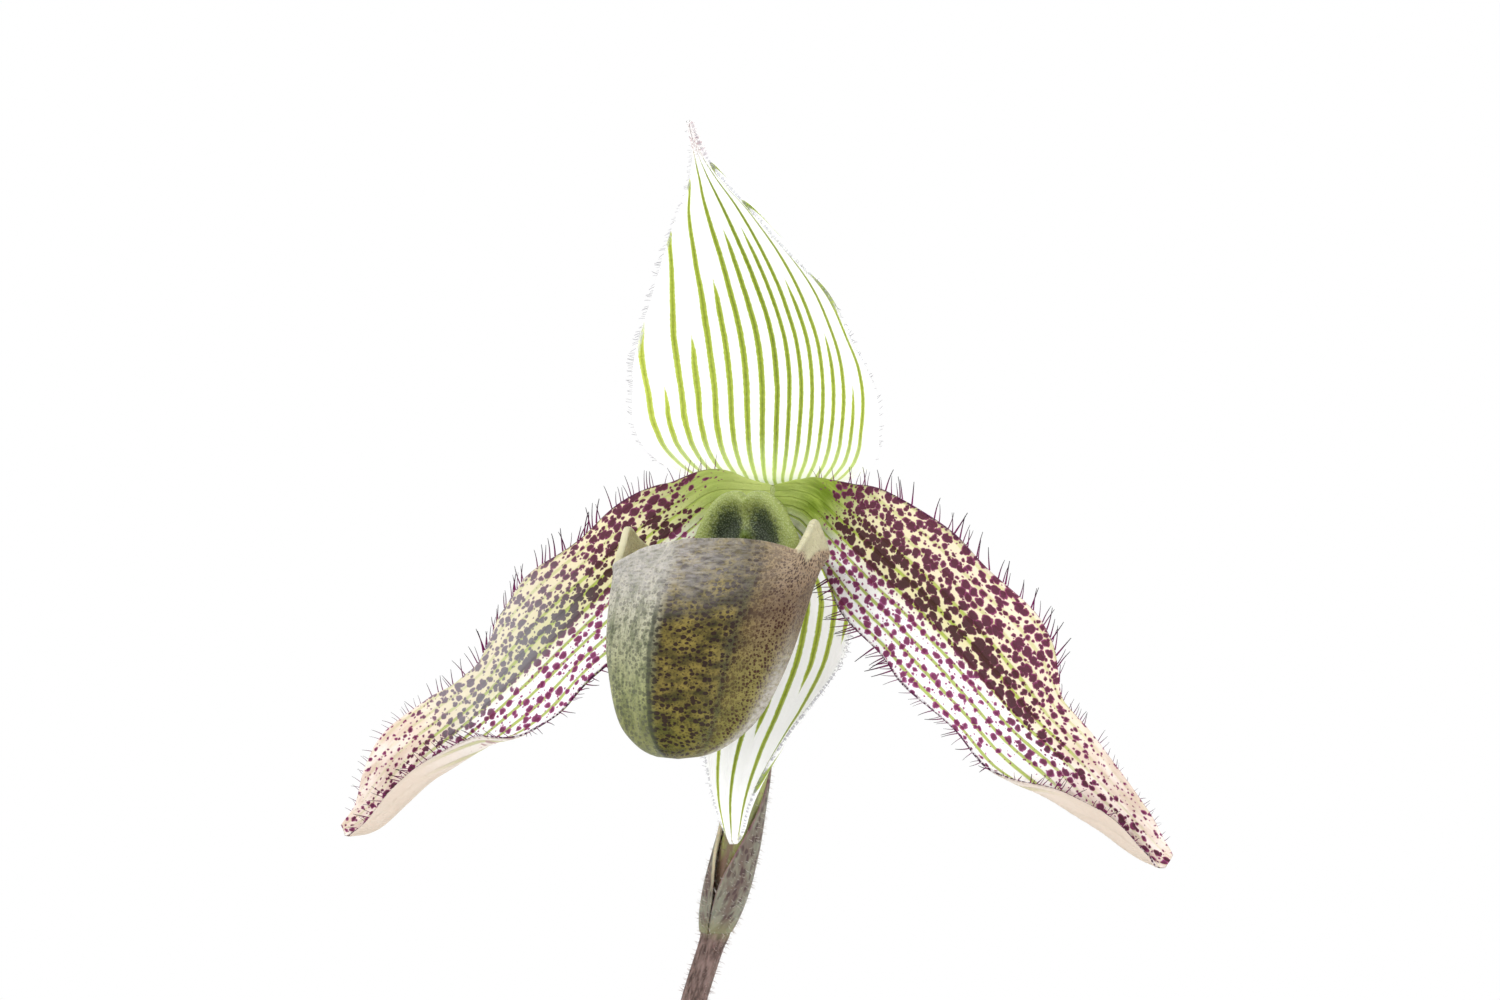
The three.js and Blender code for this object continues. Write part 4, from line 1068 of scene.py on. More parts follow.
def margin(grid, place, side, start, end, lean, long, front):
    """A line of edges along a margin whose points know where a hair points and how long it is.

    The tables lean, long and front give the hair's lean to the tip, its length and its turn to the
    bloom's face."""
    column = -1 if side > 0 else 0
    middle = place(grid["middle"])
    line = middle[:, column]
    out = unit(line - middle[:, column - 3 if side > 0 else 3])
    ahead = unit(np.gradient(line, axis=0))
    s = grid["s"][:, 0]
    kept = (s >= start) & (s <= end)
    to_front = table(front)(np.clip(s, 0, 1)) * (place([FRONT]) - place([[0, 0, 0]]))
    aim = unit(out + table(lean)(np.clip(s, 0, 1)) * ahead + to_front)[kept]
    mesh = bpy.data.meshes.new("margin")
    points = line[kept]
    mesh.from_pydata((points * MM).tolist(), [[i, i + 1] for i in range(len(points) - 1)], [])
    keep_mark(mesh, "out", aim)
    keep_mark(mesh, "long", table(long)(s[kept])[:, 0])
    return mesh


print("the bloom is turned by", BLOOM_DEGREES, "degrees about", BLOOM_CENTRE)

# %% Sepal forms
DORSAL = {
    "rib": forward([[0, -3.4, 1.4], [0, -4, 7.7], [0, -4.2, 13], [0, -3, 18], [0, -0.2, 22.6],
                    [0, 4, 27.6], [0, 9, 32.6], [0, 13.5, 36.7], [0.2, 17, 40.2], [0.3, 18.6, 42.4]]),
    "facing": FRONT,
    "towards": [1, 0, 0],
    "start": -0.09,
    "foot": [0, 5.4, -1.2],
    "widths": [[-0.09, 3.4, 3.4], [-0.04, 7.6, 7.2], [0, 12, 10.6], [0.04, 15.6, 13.4],
               [0.09, 17.6, 14.9], [0.16, 18.4, 15.4], [0.25, 18.3, 15], [0.36, 17, 14.2],
               [0.5, 13.7, 12.7], [0.62, 10.2, 10.8], [0.75, 6, 7.6], [0.85, 2.3, 3.4], [0.93, 0.8, 1],
               [1, 0.4, 0.4]],
    "bends": [[0, -3, -3, 0, 0, 0, 0], [0.1, 8, 8, 12, 12, 0, 0], [0.25, 12, 12, 20, 22, 0, 0],
              [0.6, 14, 16, 26, 30, 0, 6], [0.85, 26, 28, 30, 30, 0, 6], [1, 30, 30, 20, 20, 0, 0]],
    "wave": (0.5, 3, 0.4),
    "thick": (1.1, 0.7),
}
SYNSEPAL = {
    "rib": forward([[0, -4.2, -4.4], [0, -4.6, -9], [0, -4, -14], [-0.1, -1.6, -20], [-0.4, 2, -26],
                    [-0.6, 5, -31], [-0.6, 6.6, -36], [-0.4, 6.6, -41.4]]),
    "facing": FRONT,
    "towards": [1, 0, 0],
    "start": -0.05,
    "foot": [0, 4, -2.4],
    "widths": [[-0.05, 1.6, 1.6], [0, 2.6, 2.6], [0.1, 7, 7.4], [0.25, 11, 11.4], [0.4, 11.6, 11.8],
               [0.55, 8.8, 10.8], [0.7, 5, 8.6], [0.83, 2.9, 5.6], [0.94, 1.4, 2.4], [1, 0.5, 0.5]],
    "bends": [[0, 5, 5, 0, 0, 0, 0], [0.4, 8, 8, 22, 22, 0, 0], [0.7, 12, 12, 24, 30, 30, 30],
              [0.9, 16, 16, 20, 30, 50, 50], [1, 10, 10, 0, 0, 0, 0]],
    "thick": (1, 0.7),
}
for name, form in [("dorsal sepal", DORSAL), ("synsepal", SYNSEPAL)]:
    print(name, "is", round(length_of(line_through(form["rib"])), 1), "mm long on its rib")

# %% Sepals with their veins
sepal_grids = {}
for name, form, veins, seed in [("dorsal_sepal", DORSAL, 9.3, 0.0), ("synsepal", SYNSEPAL, 5.4, 30.0)]:
    grid = sepal_grids[name] = blade_grid(form, 110, 28, seed)
    s, t = grid["s"], grid["t"]
    widest = grid["width"].argmax(axis=0)
    share = np.where(np.arange(len(s))[:, None] < widest, 1, grid["width"] / grid["width"].max(axis=0))
    rim = fade(abs(t), 0.97, 0.99) * fade(s, 0.1, 0.3)
    count = t * veins * share**0.4
    if name == "dorsal_sepal":
        tipped, rim = fade(s, 0.86, 0.95), 0.6 * rim
        count *= np.where(t < 0, 0.92, 0.95) / (0.88 + 0.12 * fade(s, -0.02, 0.38))
    else:
        tipped, rim = 0.6 * fade(s, 0.94, 1.0), 0.8 * rim
    body = blade_skin(grid, in_bloom, vein=count, tipped=tipped, rim=rim)
    dress(piece_from(name + "_blade", body, striped_sepal), "striped_sepal", name)

# %% [markdown]
# ## Petals
# Each petal has a green base, a cream upper half under dense maroon blotches, and a white lower half
# with purple spots strung along thin veins. The tip is a pale peach. The spots are cells of a Voronoi
# texture in two sizes: a cell is painted where its distance stays under a limit, and the attribute
# spots raises or lowers that limit from place to place. Where it is high, spots run together into
# blotches. A last factor, below, makes the lower half's large spots larger and its small ones fewer.

# %% Spotted petal
petal_paint = Finish("spotted_petal", Specular_IOR_Level=0.08, Roughness=0.6, Subsurface_Weight=0.2,
                     Subsurface_Scale=0.0012, Subsurface_Radius=(1.0, 0.8, 0.7))
flat = petal_paint.marks("flat")
across = petal_paint.mark("across")
upper = step(across, -0.1, 0.16)
off_vein = from_whole(petal_paint.mark("vein"))
waver = noise(flat * (0.4, 1, 1), 1.2, 2)
on_vein = step(waver * 0.12 + off_vein, 0.25, 0.12)
ground = mix(upper, (252, 250, 251), (235, 222, 198))
ground = mix(petal_paint.mark("lime"), ground, (216, 212, 158))
mottle = noise(flat * (0.3, 1, 1), 1.4, 3)
peach = mix(step(mottle, 0.35, 0.65), (238, 226, 220), (210, 190, 176))
ground = mix(petal_paint.mark("blush"), ground, peach)
on_vein = on_vein * step(across, 0.3, 0.6, 0.9, 0.4)
on_vein = on_vein * step(petal_paint.mark("blush"), 0.3, 0.9, 1.0, 0.3)
ground = mix(on_vein, ground, (164, 182, 66))
streaks = noise(flat * (0.15, 1, 1), 0.7, 3)
base = mix(step(streaks, 0.35, 0.65), (108, 130, 34), (148, 168, 68))
# The paler base green is partly the petal's own colour, at its foot and along its lower half, and partly
# painted light that makes the whole base of the left petal paler.
base = mix(petal_paint.mark("pale_base_and_light"), base, (186, 198, 118))
ground = mix(petal_paint.mark("green"), ground, base)


def spot_layer(size, low, high, soft, below):
    """Where spots of one size lie, 0 to 1, and where their dark middles lie."""
    where = shaken(flat * (0.75, 1, 1), size * 0.6, size * 0.26)
    distance, chance = cells(where, size)
    limit = parts(chance)[0] * (high - low) + low
    limit = limit * petal_paint.mark("spots")
    limit = limit * step(across, -0.1, 0.1, below, 1.0)
    inside = limit - distance
    return step(inside, -soft, soft), step(inside, 0.0, 0.34)


large, large_core = spot_layer(1.1, 0.26, 0.52, 0.05, 1.16)
small, small_core = spot_layer(0.62, 0.1, 0.48, 0.08, 0.72)
blotches = larger(large, small)
core = larger(large_core, small_core)
tint = noise(flat, 0.7, 3)
core = step(tint * 0.8 + core, 0.3, 0.9)
purple = mix(core, (166, 80, 138), (124, 32, 88))
maroon = mix(core, (130, 28, 92), (70, 10, 42))
maroon = mix(petal_paint.mark("lime") * 0.8, maroon, (52, 20, 28))
spot_colour = mix(petal_paint.mark("deep"), purple, maroon)
# Painted shade: a blue-grey shadow over the left petal's upper half greys its spots and ground.
spot_colour = mix(petal_paint.mark("painted_shade"), spot_colour, (82, 74, 110))
painted = mix(blotches * 0.96, ground, spot_colour)
painted = mix(petal_paint.mark("painted_shade") * 0.5, painted, (196, 200, 192))
beads = cells(flat, 0.34)
rim = petal_paint.mark("rim") * step(beads[0], 0.6, 0.35, 0.45, 1.0)
painted = mix(rim, painted, (62, 26, 56))
back = mix(petal_paint.mark("blush"), painted, (208, 192, 178))
back = mix(0.55, back, (214, 200, 186))
painted = mix(step(petal_paint.mark("side"), 0.2, -0.2), painted, back)
fine = noise(flat, 0.45, 3)
petal_paint.relief(on_vein * -0.8 + fine, 0.14)
spotted_petal = petal_paint.done(painted)

# %% Petal forms
PETAL_BENDS = [[0, 0, 0, 10, 10, 0, 0], [0.3, 4, -4, 8, -14, 0, 0], [0.6, 4, -4, 10, -10, 10, 0],
               [0.72, 6, 0, 10, 10, 0, 10], [0.9, 8, 6, 8, 10, 0, 0], [1, 8, 6, 10, 10, 0, 0]]
PETALS = {
    "petal_right": {
        "rib": forward([[2.9, -2.6, -0.9], [5.5, -1.6, -1.7], [9.2, -0.1, -4.4], [17.1, 3, -9.7],
                        [22.9, 4.4, -13.9], [27.8, 5.3, -18], [32.2, 5.5, -22.3], [36.6, 5.5, -26.6],
                        [41.3, 5.5, -30.3], [46, 5.8, -34.4], [50.1, 6, -38], [52.5, 6, -40.2],
                        [54.6, 6, -41.6]]),
        "widths": [[-0.04, 2.4, 1.4], [0, 3.6, 2.2], [0.04, 4, 3.4], [0.09, 4, 5.4], [0.17, 5, 7.7],
                   [0.25, 6.6, 8.7], [0.33, 7.3, 9.1], [0.42, 7.5, 9.3], [0.5, 7.2, 9.4], [0.58, 7, 8.8],
                   [0.64, 7, 7.2], [0.69, 6.8, 5.2], [0.76, 6.4, 4.4], [0.84, 5.8, 4], [0.92, 4.6, 2.9],
                   [0.97, 2.8, 1.8], [1, 0.9, 0.9]],
        "tuck": [[0, 0, 0.9], [0.5, 0, 0.95], [0.62, 60, 0.95], [0.7, 130, 0.86], [0.8, 150, 0.66],
                 [0.9, 150, 0.5], [0.97, 120, 0.5], [1, 0, 0.6]],
        "wave": (0.9, 4.5, 1.2),
    },
    "petal_left": {
        "rib": forward([[-2.9, -2.6, -0.9], [-6.9, -1.6, -1.3], [-9.8, 0, -3.6], [-13.9, 2.4, -7.3],
                        [-19.2, 3.8, -12.2], [-24.9, 4.8, -17.4], [-30.2, 5.5, -22.4],
                        [-35.2, 5.5, -26.5], [-39.8, 5.5, -29.9], [-44, 5.7, -32.9], [-47.2, 6, -36.1],
                        [-50.8, 6, -39.6], [-54.8, 6, -41.5]]),
        "widths": [[-0.04, 2.4, 1.4], [0, 2.8, 2.2], [0.04, 2.8, 3.4], [0.09, 3.1, 5], [0.17, 5, 7],
                   [0.25, 6.3, 7.8], [0.33, 7.2, 8], [0.42, 7.4, 8.7], [0.5, 7.3, 8.2], [0.55, 6.9, 6.4],
                   [0.6, 6.5, 4.8], [0.65, 6.2, 4.9], [0.72, 5.9, 5.8], [0.8, 5.5, 5.7], [0.87, 4.9, 4.7],
                   [0.93, 3.7, 3.2], [0.97, 2.2, 1.7], [1, 0.7, 0.7]],
        "tuck": [[0, 0, 0.9], [0.48, 0, 0.95], [0.58, 60, 0.92], [0.66, 130, 0.66], [0.78, 150, 0.55],
                 [0.9, 150, 0.52], [0.97, 100, 0.55], [1, 0, 0.6]],
        "wave": (0.9, 4.5, 2),
    },
}
for name, form in PETALS.items():
    print(name, "is", round(length_of(line_through(form["rib"])), 1), "mm long on its rib")

# %% Petals with their marks
petal_grids = {}
for seed, (name, form) in enumerate(PETALS.items()):
    form.update(facing=FRONT, towards=[0, 0, 1], bends=PETAL_BENDS, thick=(0.9, 0.5), start=-0.04,
                foot=[0, 2.6, -0.8])
    grid = petal_grids[name] = blade_grid(form, 160, 24, 7.3 + 50 * seed)
    s, t = grid["s"], grid["t"]
    left = 1.0 if name == "petal_left" else 0.0
    starts = fade(s, 0.085, 0.17) + fade(t, 0.3, 0.7) * fade(s, 0.03, 0.09)
    starts += hump(t, 0.05, 0.12) * fade(s, 0.06, 0.12)
    above = 0.9 + (0.08 - 0.18 * left) * hump(s, 0.5, 0.25)
    above += 0.34 * hump(t, 0.14, 0.17) * hump(s, 0.4, 0.36)
    above += 0.18 * fade(t, 0.15, 0.4) * (1 - fade(s, 0.18, 0.4))
    below = 0.74 - 0.1 * fade(s, 0.25, 0.6)
    spots = np.clip(starts, 0, 1) * np.where(t > -0.03, above, below)
    spots *= 1 - 0.5 * fade(s, 0.62, 0.8) * fade(t, -0.2, 0.5)
    spots *= 1 - fade(s, 0.62, 0.7) * fade(-t, 0.4, 0.6)
    deep = np.clip(0.2 + 0.8 * fade(t, -0.2, 0.08) + 0.4 * fade(s, 0.55, 0.7), 0, 1)
    lime = 0.7 * (1 - fade(s, 0.22, 0.45)) * fade(t, -0.1, 0.1) * (1 - 0.4 * fade(t, 0.3, 0.6))
    lime = np.maximum(lime, 0.8 * hump(t, 0.14, 0.3) * (1 - fade(s, 0.4, 0.75)))
    upper_rim = fade(s, 0.02, 0.1) * (1 - fade(s, 0.3, 0.5))
    # Painted shade on the left petal: a blue-grey shadow over its upper half, from about 0.3 to 0.75
    # along.
    painted_shade = fade(s, 0.28, 0.5) * (1 - fade(s, 0.66, 0.78)) * fade(t, -0.25, 0.15)
    marks = {"spots": spots,
             "vein": t * 5.4 * (grid["width"] / grid["width"].max()) ** 0.5,
             "deep": deep - 0.22 * fade(t, 0.3, 0.65),
             "green": (1 - fade(s, 0.06, 0.21)) * fade(t, -1.3, -0.2),
             # Part of this mark is the petal's own paler base; the 0.5 that the left petal adds is
             # painted light.
             "pale_base_and_light": np.maximum(1 - fade(s, 0, 0.06), fade(-t, 0.1, 0.6)) * 0.45 + 0.5 * left,
             "lime": lime + 0.25 * left * hump(s, 0.5, 0.22) * fade(t, -0.2, 0.1),
             "blush": fade(s, 0.64, 0.84) * 0.9,
             "painted_shade": 0.55 * left * painted_shade,
             "rim": fade(abs(t), 0.95, 0.98) * np.where(t < 0, fade(s, 0.1, 0.2), upper_rim)}
    body = blade_skin(grid, in_bloom, **marks)
    dress(piece_from(name + "_blade", body, spotted_petal), "spotted_petal", name)

# %% [markdown]
# ## Fringes
# The petals carry stiff hairs of up to three millimetres on both margins, magenta at the root and
# nearly black at the end. The sepals carry a fine grey fringe of under a millimetre. Where a petal's
# lower margin folds over, its hairs turn to the bloom's face.

# %% Hairs for the margins
petal_hair = hair_finish("petal_hair", (116, 34, 88), (20, 10, 20))
sepal_hair = hair_finish("sepal_hair", (196, 196, 198), (110, 106, 116))
UPPER_HAIRS = [[0, 0.5], [0.06, 0.6], [0.15, 0.8], [0.25, 1], [0.6, 0.95], [0.68, 0.6], [0.8, 0.5],
               [0.92, 0.4], [1, 0.3]]
LOWER_HAIRS = [[0, 0.6], [0.14, 1], [0.38, 1], [0.5, 0.65], [0.62, 0.65], [0.75, 0.75], [0.9, 0.7],
               [1, 0.4]]
UPPER_LEAN = [[0, -0.6], [0.6, -0.5], [0.8, 0.1], [1, 0.4]]
LOWER_LEAN = [[0, -0.6], [0.5, -0.8], [0.7, 0.2], [1, 0.5]]
SEPAL_LEAN = [[0, 0.3], [1, 0.3]]
SEPAL_HAIRS = [[0, 0.8], [0.5, 1], [1, 0.5]]
LITTLE_FRONT = [[0, 0.15], [1, 0.15]]
FOLDED_FRONT = [[0, 0.15], [0.58, 0.15], [0.68, 0.45], [1, 0.45]]
NO_FRONT = [[0, 0], [1, 0]]
STIFF = {"Spacing": 0.00036, "Share": 0.46, "Length": 0.0028, "Radius": 0.00011, "Bend": 0.12,
         "Spread": 0.26, "Material": petal_hair}
FINE = {"Spacing": 0.00025, "Share": 0.55, "Length": 0.0008, "Radius": 0.000045, "Bend": 0.2,
        "Spread": 0.4, "Material": sepal_hair}

# %% Fringes
PETAL_EDGES = [("upper", 1, 0.02, 0.975, UPPER_LEAN, UPPER_HAIRS, LITTLE_FRONT),
               ("lower", -1, 0.12, 0.975, LOWER_LEAN, LOWER_HAIRS, FOLDED_FRONT)]
SEPAL_EDGES = [("right", 1, 0.02, 0.99, SEPAL_LEAN, SEPAL_HAIRS, NO_FRONT),
               ("left", -1, 0.02, 0.99, SEPAL_LEAN, SEPAL_HAIRS, NO_FRONT)]
for grids, edges, hairs, slot, first_seed in [(petal_grids, PETAL_EDGES, STIFF, "spotted_petal", 11),
                                              (sepal_grids, SEPAL_EDGES, FINE, "striped_sepal", 31)]:
    for order, (name, grid) in enumerate(grids.items()):
        for edge, side, *run in edges:
            line = margin(grid, in_bloom, side, *run)
            seed = first_seed + 2 * order + side
            dress(grown(f"{name}_{edge}_hairs", line, margin_hairs, Seed=seed, **hairs), slot)

# %% [markdown]
# ## Lip
# The lip is a pouch, like the toe of a slipper: hollow, with a thin rolled rim and an ear on each
# side. Rings of points run down the outside, over the rim and down the inside. A keel runs down the
# front. Marks on the points say how far round and how far down each one lies, so that the paint
# can set a dark line on the keel, veins beside it, wrinkles under the rim and specks all over.

# %% Lip paint
lip_paint = Finish("lip_skin", Specular_IOR_Level=0.22, Subsurface_Weight=0.1, Subsurface_Scale=0.001,
                   Subsurface_Radius=(1.0, 0.8, 0.4))
flat = lip_paint.marks("flat")
level = lip_paint.mark("level")
round_front = lip_paint.mark("turn")
cloud = noise(flat, 3.5, 3)
band = noise(flat * (0.6, 1, 1), 1.6, 3)
shifted = cloud * 16.0 + round_front
# Left of the keel the pouch is pale, paler towards the top and greener lower down: partly its own colour
# and partly painted light and sheen on this side.
pale_and_lit_side = mix(step(level, 0.15, 0.75), (196, 192, 174), (150, 154, 102))
smudge = noise(flat * (1, 0.5, 1), 1.6, 4, 0.65)
left_side = mix(step(smudge, 0.42, 0.62, 0.0, 0.75), pale_and_lit_side, (92, 100, 66))
# The middle, between the keel and the right side, is a dark olive: partly its own colour and partly
# painted shade that sets it off from the lit left side.
middle = mix(step(band, 0.3, 0.7), (134, 118, 56), (40, 38, 6))
right_side = mix(band, (150, 126, 98), (84, 64, 42))
right_side = mix(step(level, 0.28, 0.04), right_side, (192, 168, 138))
low_right = mix(band, (156, 144, 82), (92, 86, 36))
right_side = mix(step(level, 0.3, 0.65), right_side, low_right)
past_keel = step(round_front, -2, 6)
skin_colour = mix(step(shifted, 40, 78), middle, right_side)
skin_colour = mix(past_keel, left_side, skin_colour)
toe = step(level, 0.6, 0.9) * 0.5
skin_colour = mix(toe, skin_colour, (104, 104, 36))
second = abs(round_front - lip_paint.mark("vein"))
second = step(cloud * 3.0 + second, 6.5, 1.5) * step(level, 0.04, 0.2, 0.0, 0.55)
skin_colour = mix(second, skin_colour, (62, 66, 44))
keel = abs(lip_paint.mark("ridge") + (cloud * 0.6 - 0.3))
keel_line = step(keel, 0.42, 0.1) * step(level, 0.04, 0.4, 0.0, 0.75)
skin_colour = mix(keel_line, skin_colour, (48, 54, 40))


def specks(size, wide, high, low):
    """Where specks of one size lie, stretched wide times along the rim."""
    where = shaken(flat * (1 / wide, 1, 1), size * 0.7, size * 0.22)
    distance, chance = cells(where, size)
    limit = parts(chance)[0] * (high - low) + low
    return step(limit - distance, -0.06, 0.06)


dashes = specks(0.5, 1.3, 0.54, 0.0) * step(shifted, 80, 50)
fine_dots = specks(0.3, 1.1, 0.44, 0.0) * 0.55
dots = specks(0.44, 1, 0.44, 0.1) * step(shifted, 50, 80, 0.3, 1.0)
dot = larger(larger(dashes, dots), fine_dots)
dot = dot * step(round_front, -8, 4, 0.7, 1.0)
dot_colour = mix(step(shifted, 45, 75), (36, 16, 10), (58, 26, 16))
dot_colour = mix(past_keel, (70, 72, 58), dot_colour)
dot_share = dot * step(level, 0.0, 0.12, 0.65, 0.95)
skin_colour = mix(dot_share, skin_colour, dot_colour)
# Painted sheen: a whitish silky shine across the top of the pouch, strongest left of the keel and fading
# to the right. The lower back right takes the same whitish colour as painted light showing through its
# thin folds. Fine horizontal wrinkles break both up.
wrinkle_noise = noise(flat * (0.3, 1, 1), 0.45, 4, 0.6)
painted_sheen = step(level, 0.4, 0.08) * step(shifted, 70, -5, 0.15, 1.0)
backlit_folds = step(round_front, 70, 95) * step(level, 0.35, 0.7)
painted_sheen = larger(painted_sheen, backlit_folds) * step(wrinkle_noise, 0.3, 0.66, 0.3, 1.0)
skin_colour = mix(painted_sheen * 0.8, skin_colour, (206, 200, 196))
ear = lip_paint.mark("ear")
skin_colour = mix(ear, skin_colour, mix(cloud, (224, 218, 188), (196, 190, 150)))
inside = step(lip_paint.mark("inside"), 0.3, 0.7)
lining = mix(dots * 0.6, (204, 194, 152), (122, 66, 74))
skin_colour = mix(inside, skin_colour, lining)
creases = wrinkle_noise * step(level, 0.5, 0.05, 0.35, 1.0)
lip_paint.relief(creases + dot * -0.25, 0.45)
lip_skin = lip_paint.done(skin_colour, step(cloud, 0.3, 0.7, 0.4, 0.55))

# %% Lip form
LIP_LEVELS = [[0, -6.2, 10, 13, 12.6], [0.1, -8.2, 10.8, 12.4, 12.4], [0.25, -12, 12.6, 11.8, 12.5],
              [0.45, -17.3, 14.8, 10.9, 12.3], [0.65, -22.6, 16.6, 9.4, 11], [0.8, -26.6, 18.2, 7.7, 8.9],
              [0.91, -29.4, 19.6, 5, 5.8], [0.97, -30.5, 20.4, 2.6, 3], [1, -30.8, 20.8, 0.5, 0.6]]
RIM_RISE = [[-180, -0.3], [-150, -1.2], [-125, -1.7], [-107, -0.8], [-98, 0.3], [-89, 1.6], [-80, -0.9],
            [-72, -2.3], [-62, -2.9], [-45, -2.3], [-31, -1.65], [-16, -0.7], [0, -0.1], [12, 0.34],
            [32, 0.36], [46, 0.13], [60, -0.45], [69, -0.92], [77, 0.7], [85, 2.5], [91, 1.3],
            [98, -0.2], [105, -1.1], [117, -1.8], [150, -1.2], [180, -0.3]]
EAR_FEET = [[-180, 0], [-110, -1], [-66, -2.7], [-60, 0], [66, 0], [70, -0.9], [100, -0.7], [110, 0],
            [180, 0]]
LIP_WALL = 0.9
LIP_DEPTH = 27
LIP_TOE = np.array([0, -20.8, -30.8])
KEEL_DEGREES = 3
EAR_FROM, EAR_TO = 64, 108
print("the pouch is", LIP_DEPTH, "mm deep, with a wall of", LIP_WALL, "mm")

# %% Rings of the pouch
ring_angle = once_round(216)
ring_turn = (np.degrees(ring_angle) + 180) % 360 - 180
rim_rise = table(RIM_RISE)(ring_turn)[:, 0]


def lip_ring(level, wall, lift=0.0):
    """A ring of the pouch at a level, 0 at the rim and 1 at the toe, set in by wall millimetres."""
    height, ahead, half_width, half_depth = table(LIP_LEVELS)(np.array([level]))[0]
    sine, cosine = np.sin(ring_angle), np.cos(ring_angle)
    rise = rim_rise * max(0, 1 - level / 0.25) ** 1.5
    keel = 1 + 0.05 * np.maximum(0, cosine) ** 8
    keel += 0.035 * hump(ring_turn, KEEL_DEGREES, 5) * fade(level, 0.02, 0.15)
    pinch = 1 - 0.3 * np.maximum(0, -cosine) ** 2
    flute = 0.25 * np.cos(np.radians(ring_turn) * 9) * fade(level, 0.05, 0.3)
    flute *= 1 - fade(level, 0.8, 0.95)
    x = (half_width - wall + flute) * sine * pinch
    y = -(ahead + (half_depth - wall + flute) * cosine * keel)
    return np.stack([x, y, height + rise + wall * 0.5 * level + lift], -1)


outer_levels = np.concatenate([np.linspace(0.97, 0.12, 52), np.linspace(0.105, 0.01, 12)])
inner_levels = np.linspace(0.01, 0.97, 40)
over_rim = [(0.06, 0.22), (0.35, 0.34), (0.65, 0.34), (0.94, 0.22)]
rings = [lip_ring(level, 0) for level in outer_levels]
rings += [lip_ring(0, LIP_WALL * share, lift) for share, lift in over_rim]
rings += [lip_ring(level, LIP_WALL) for level in inner_levels]
print("the pouch has", len(rings), "rings of", len(ring_angle), "points")

# %% Pouch with its marks
levels = np.concatenate([outer_levels, [0] * len(over_rim), inner_levels])
levels, turn = np.meshgrid(levels, ring_turn, indexing="ij")
half_width = table(LIP_LEVELS)(levels)[..., 2]
flat = np.stack([np.radians(turn) * np.maximum(half_width, 5), levels * LIP_DEPTH, 0 * levels], -1)
inside = np.zeros(levels.shape)
inside[len(outer_levels) + len(over_rim):] = 1
in_ear = (abs(ring_turn) > EAR_FROM) & (abs(ring_turn) < EAR_TO)
over_feet = np.where(in_ear, rim_rise - table(EAR_FEET)(ring_turn)[:, 0], -1)
marks = {"flat": flat, "level": levels, "turn": turn - KEEL_DEGREES, "inside": inside,
         "ridge": np.radians(turn - KEEL_DEGREES) * half_width,
         "vein": table([[0, 48], [0.5, 45], [0.8, 50], [1, 66]])(levels)[..., 0],
         "ear": fade(over_feet - levels * LIP_DEPTH, -0.5, 0.1)}
ends = in_bloom(LIP_TOE), in_bloom(LIP_TOE + [0, 0, LIP_WALL])
lip = piece_from("lip_pouch", loft(in_bloom(np.array(rings)), *ends, **marks), lip_skin)
dress(lip, "lip_skin", "lip")

# %% [markdown]
# ## Column
# At the centre stands the column. Its shield is thick and glossy, pale green at its rolled edge, with
# two dark lobes that join below and a notch at the top. Behind it sit the neck, two anthers, the
# stigma and the foot that the lip hangs from. The shield is a loft of rings that follow one outline;
# the rest are small rounded bodies.

# %% Column paint
column_paint = Finish("column_skin", Specular_IOR_Level=0.3, Roughness=0.4, Subsurface_Weight=0.25,
                      Subsurface_Scale=0.0012, Subsurface_Radius=(0.8, 1.0, 0.4), Coat_Weight=0.2,
                      Coat_Roughness=0.3)
flat = column_paint.marks("flat")
cloud = noise(flat, 1.4, 4, 0.6)
pale_green = mix(cloud, (174, 184, 110), (126, 142, 64))
lobe = column_paint.mark("lobe")
shadowed = mix(cloud, (58, 72, 40), (14, 22, 8))
granules = cells(shaken(flat, 0.4, 0.12), 0.26)
grain = step(granules[0], 0.34, 0.2) * step(lobe, 1.0, 0.3, 0.2, 0.6)
shadowed = mix(grain, shadowed, (150, 166, 132))
patch = noise(flat, 0.5, 3)
edge = lobe + (patch * 0.7 - 0.35)
speckle = step(granules[0], 0.3, 0.18) * 0.3
pale_green = mix(speckle, pale_green, (214, 222, 170))
painted = mix(step(edge, 0.2, 0.8), pale_green, shadowed)
painted = mix(column_paint.mark("tooth"), painted, (104, 122, 52))
column_paint.relief(granules[0] + cloud, 0.08)
column_skin = column_paint.done(painted)

# %% Shield
SHIELD_REACH = [[0, 4.5], [4, 4.8], [9, 5.1], [20, 5.45], [35, 5.7], [50, 5.8], [63, 5.9], [75, 6.1],
                [85, 6.5], [95, 6.95], [104, 7.2], [125, 6.9], [150, 5.6], [172, 3.5], [180, 4]]
SHIELD_RINGS = [[0.1, 3.1], [0.4, 3.1], [0.7, 3.2], [0.86, 3.3], [0.95, 3.55], [1, 4], [0.99, 4.4],
                [0.96, 4.75], [0.91, 4.98], [0.85, 5.05], [0.78, 4.98], [0.7, 4.8], [0.62, 4.6],
                [0.54, 4.42], [0.46, 4.3], [0.38, 4.22], [0.3, 4.2], [0.22, 4.25], [0.14, 4.3],
                [0.05, 4.34]]


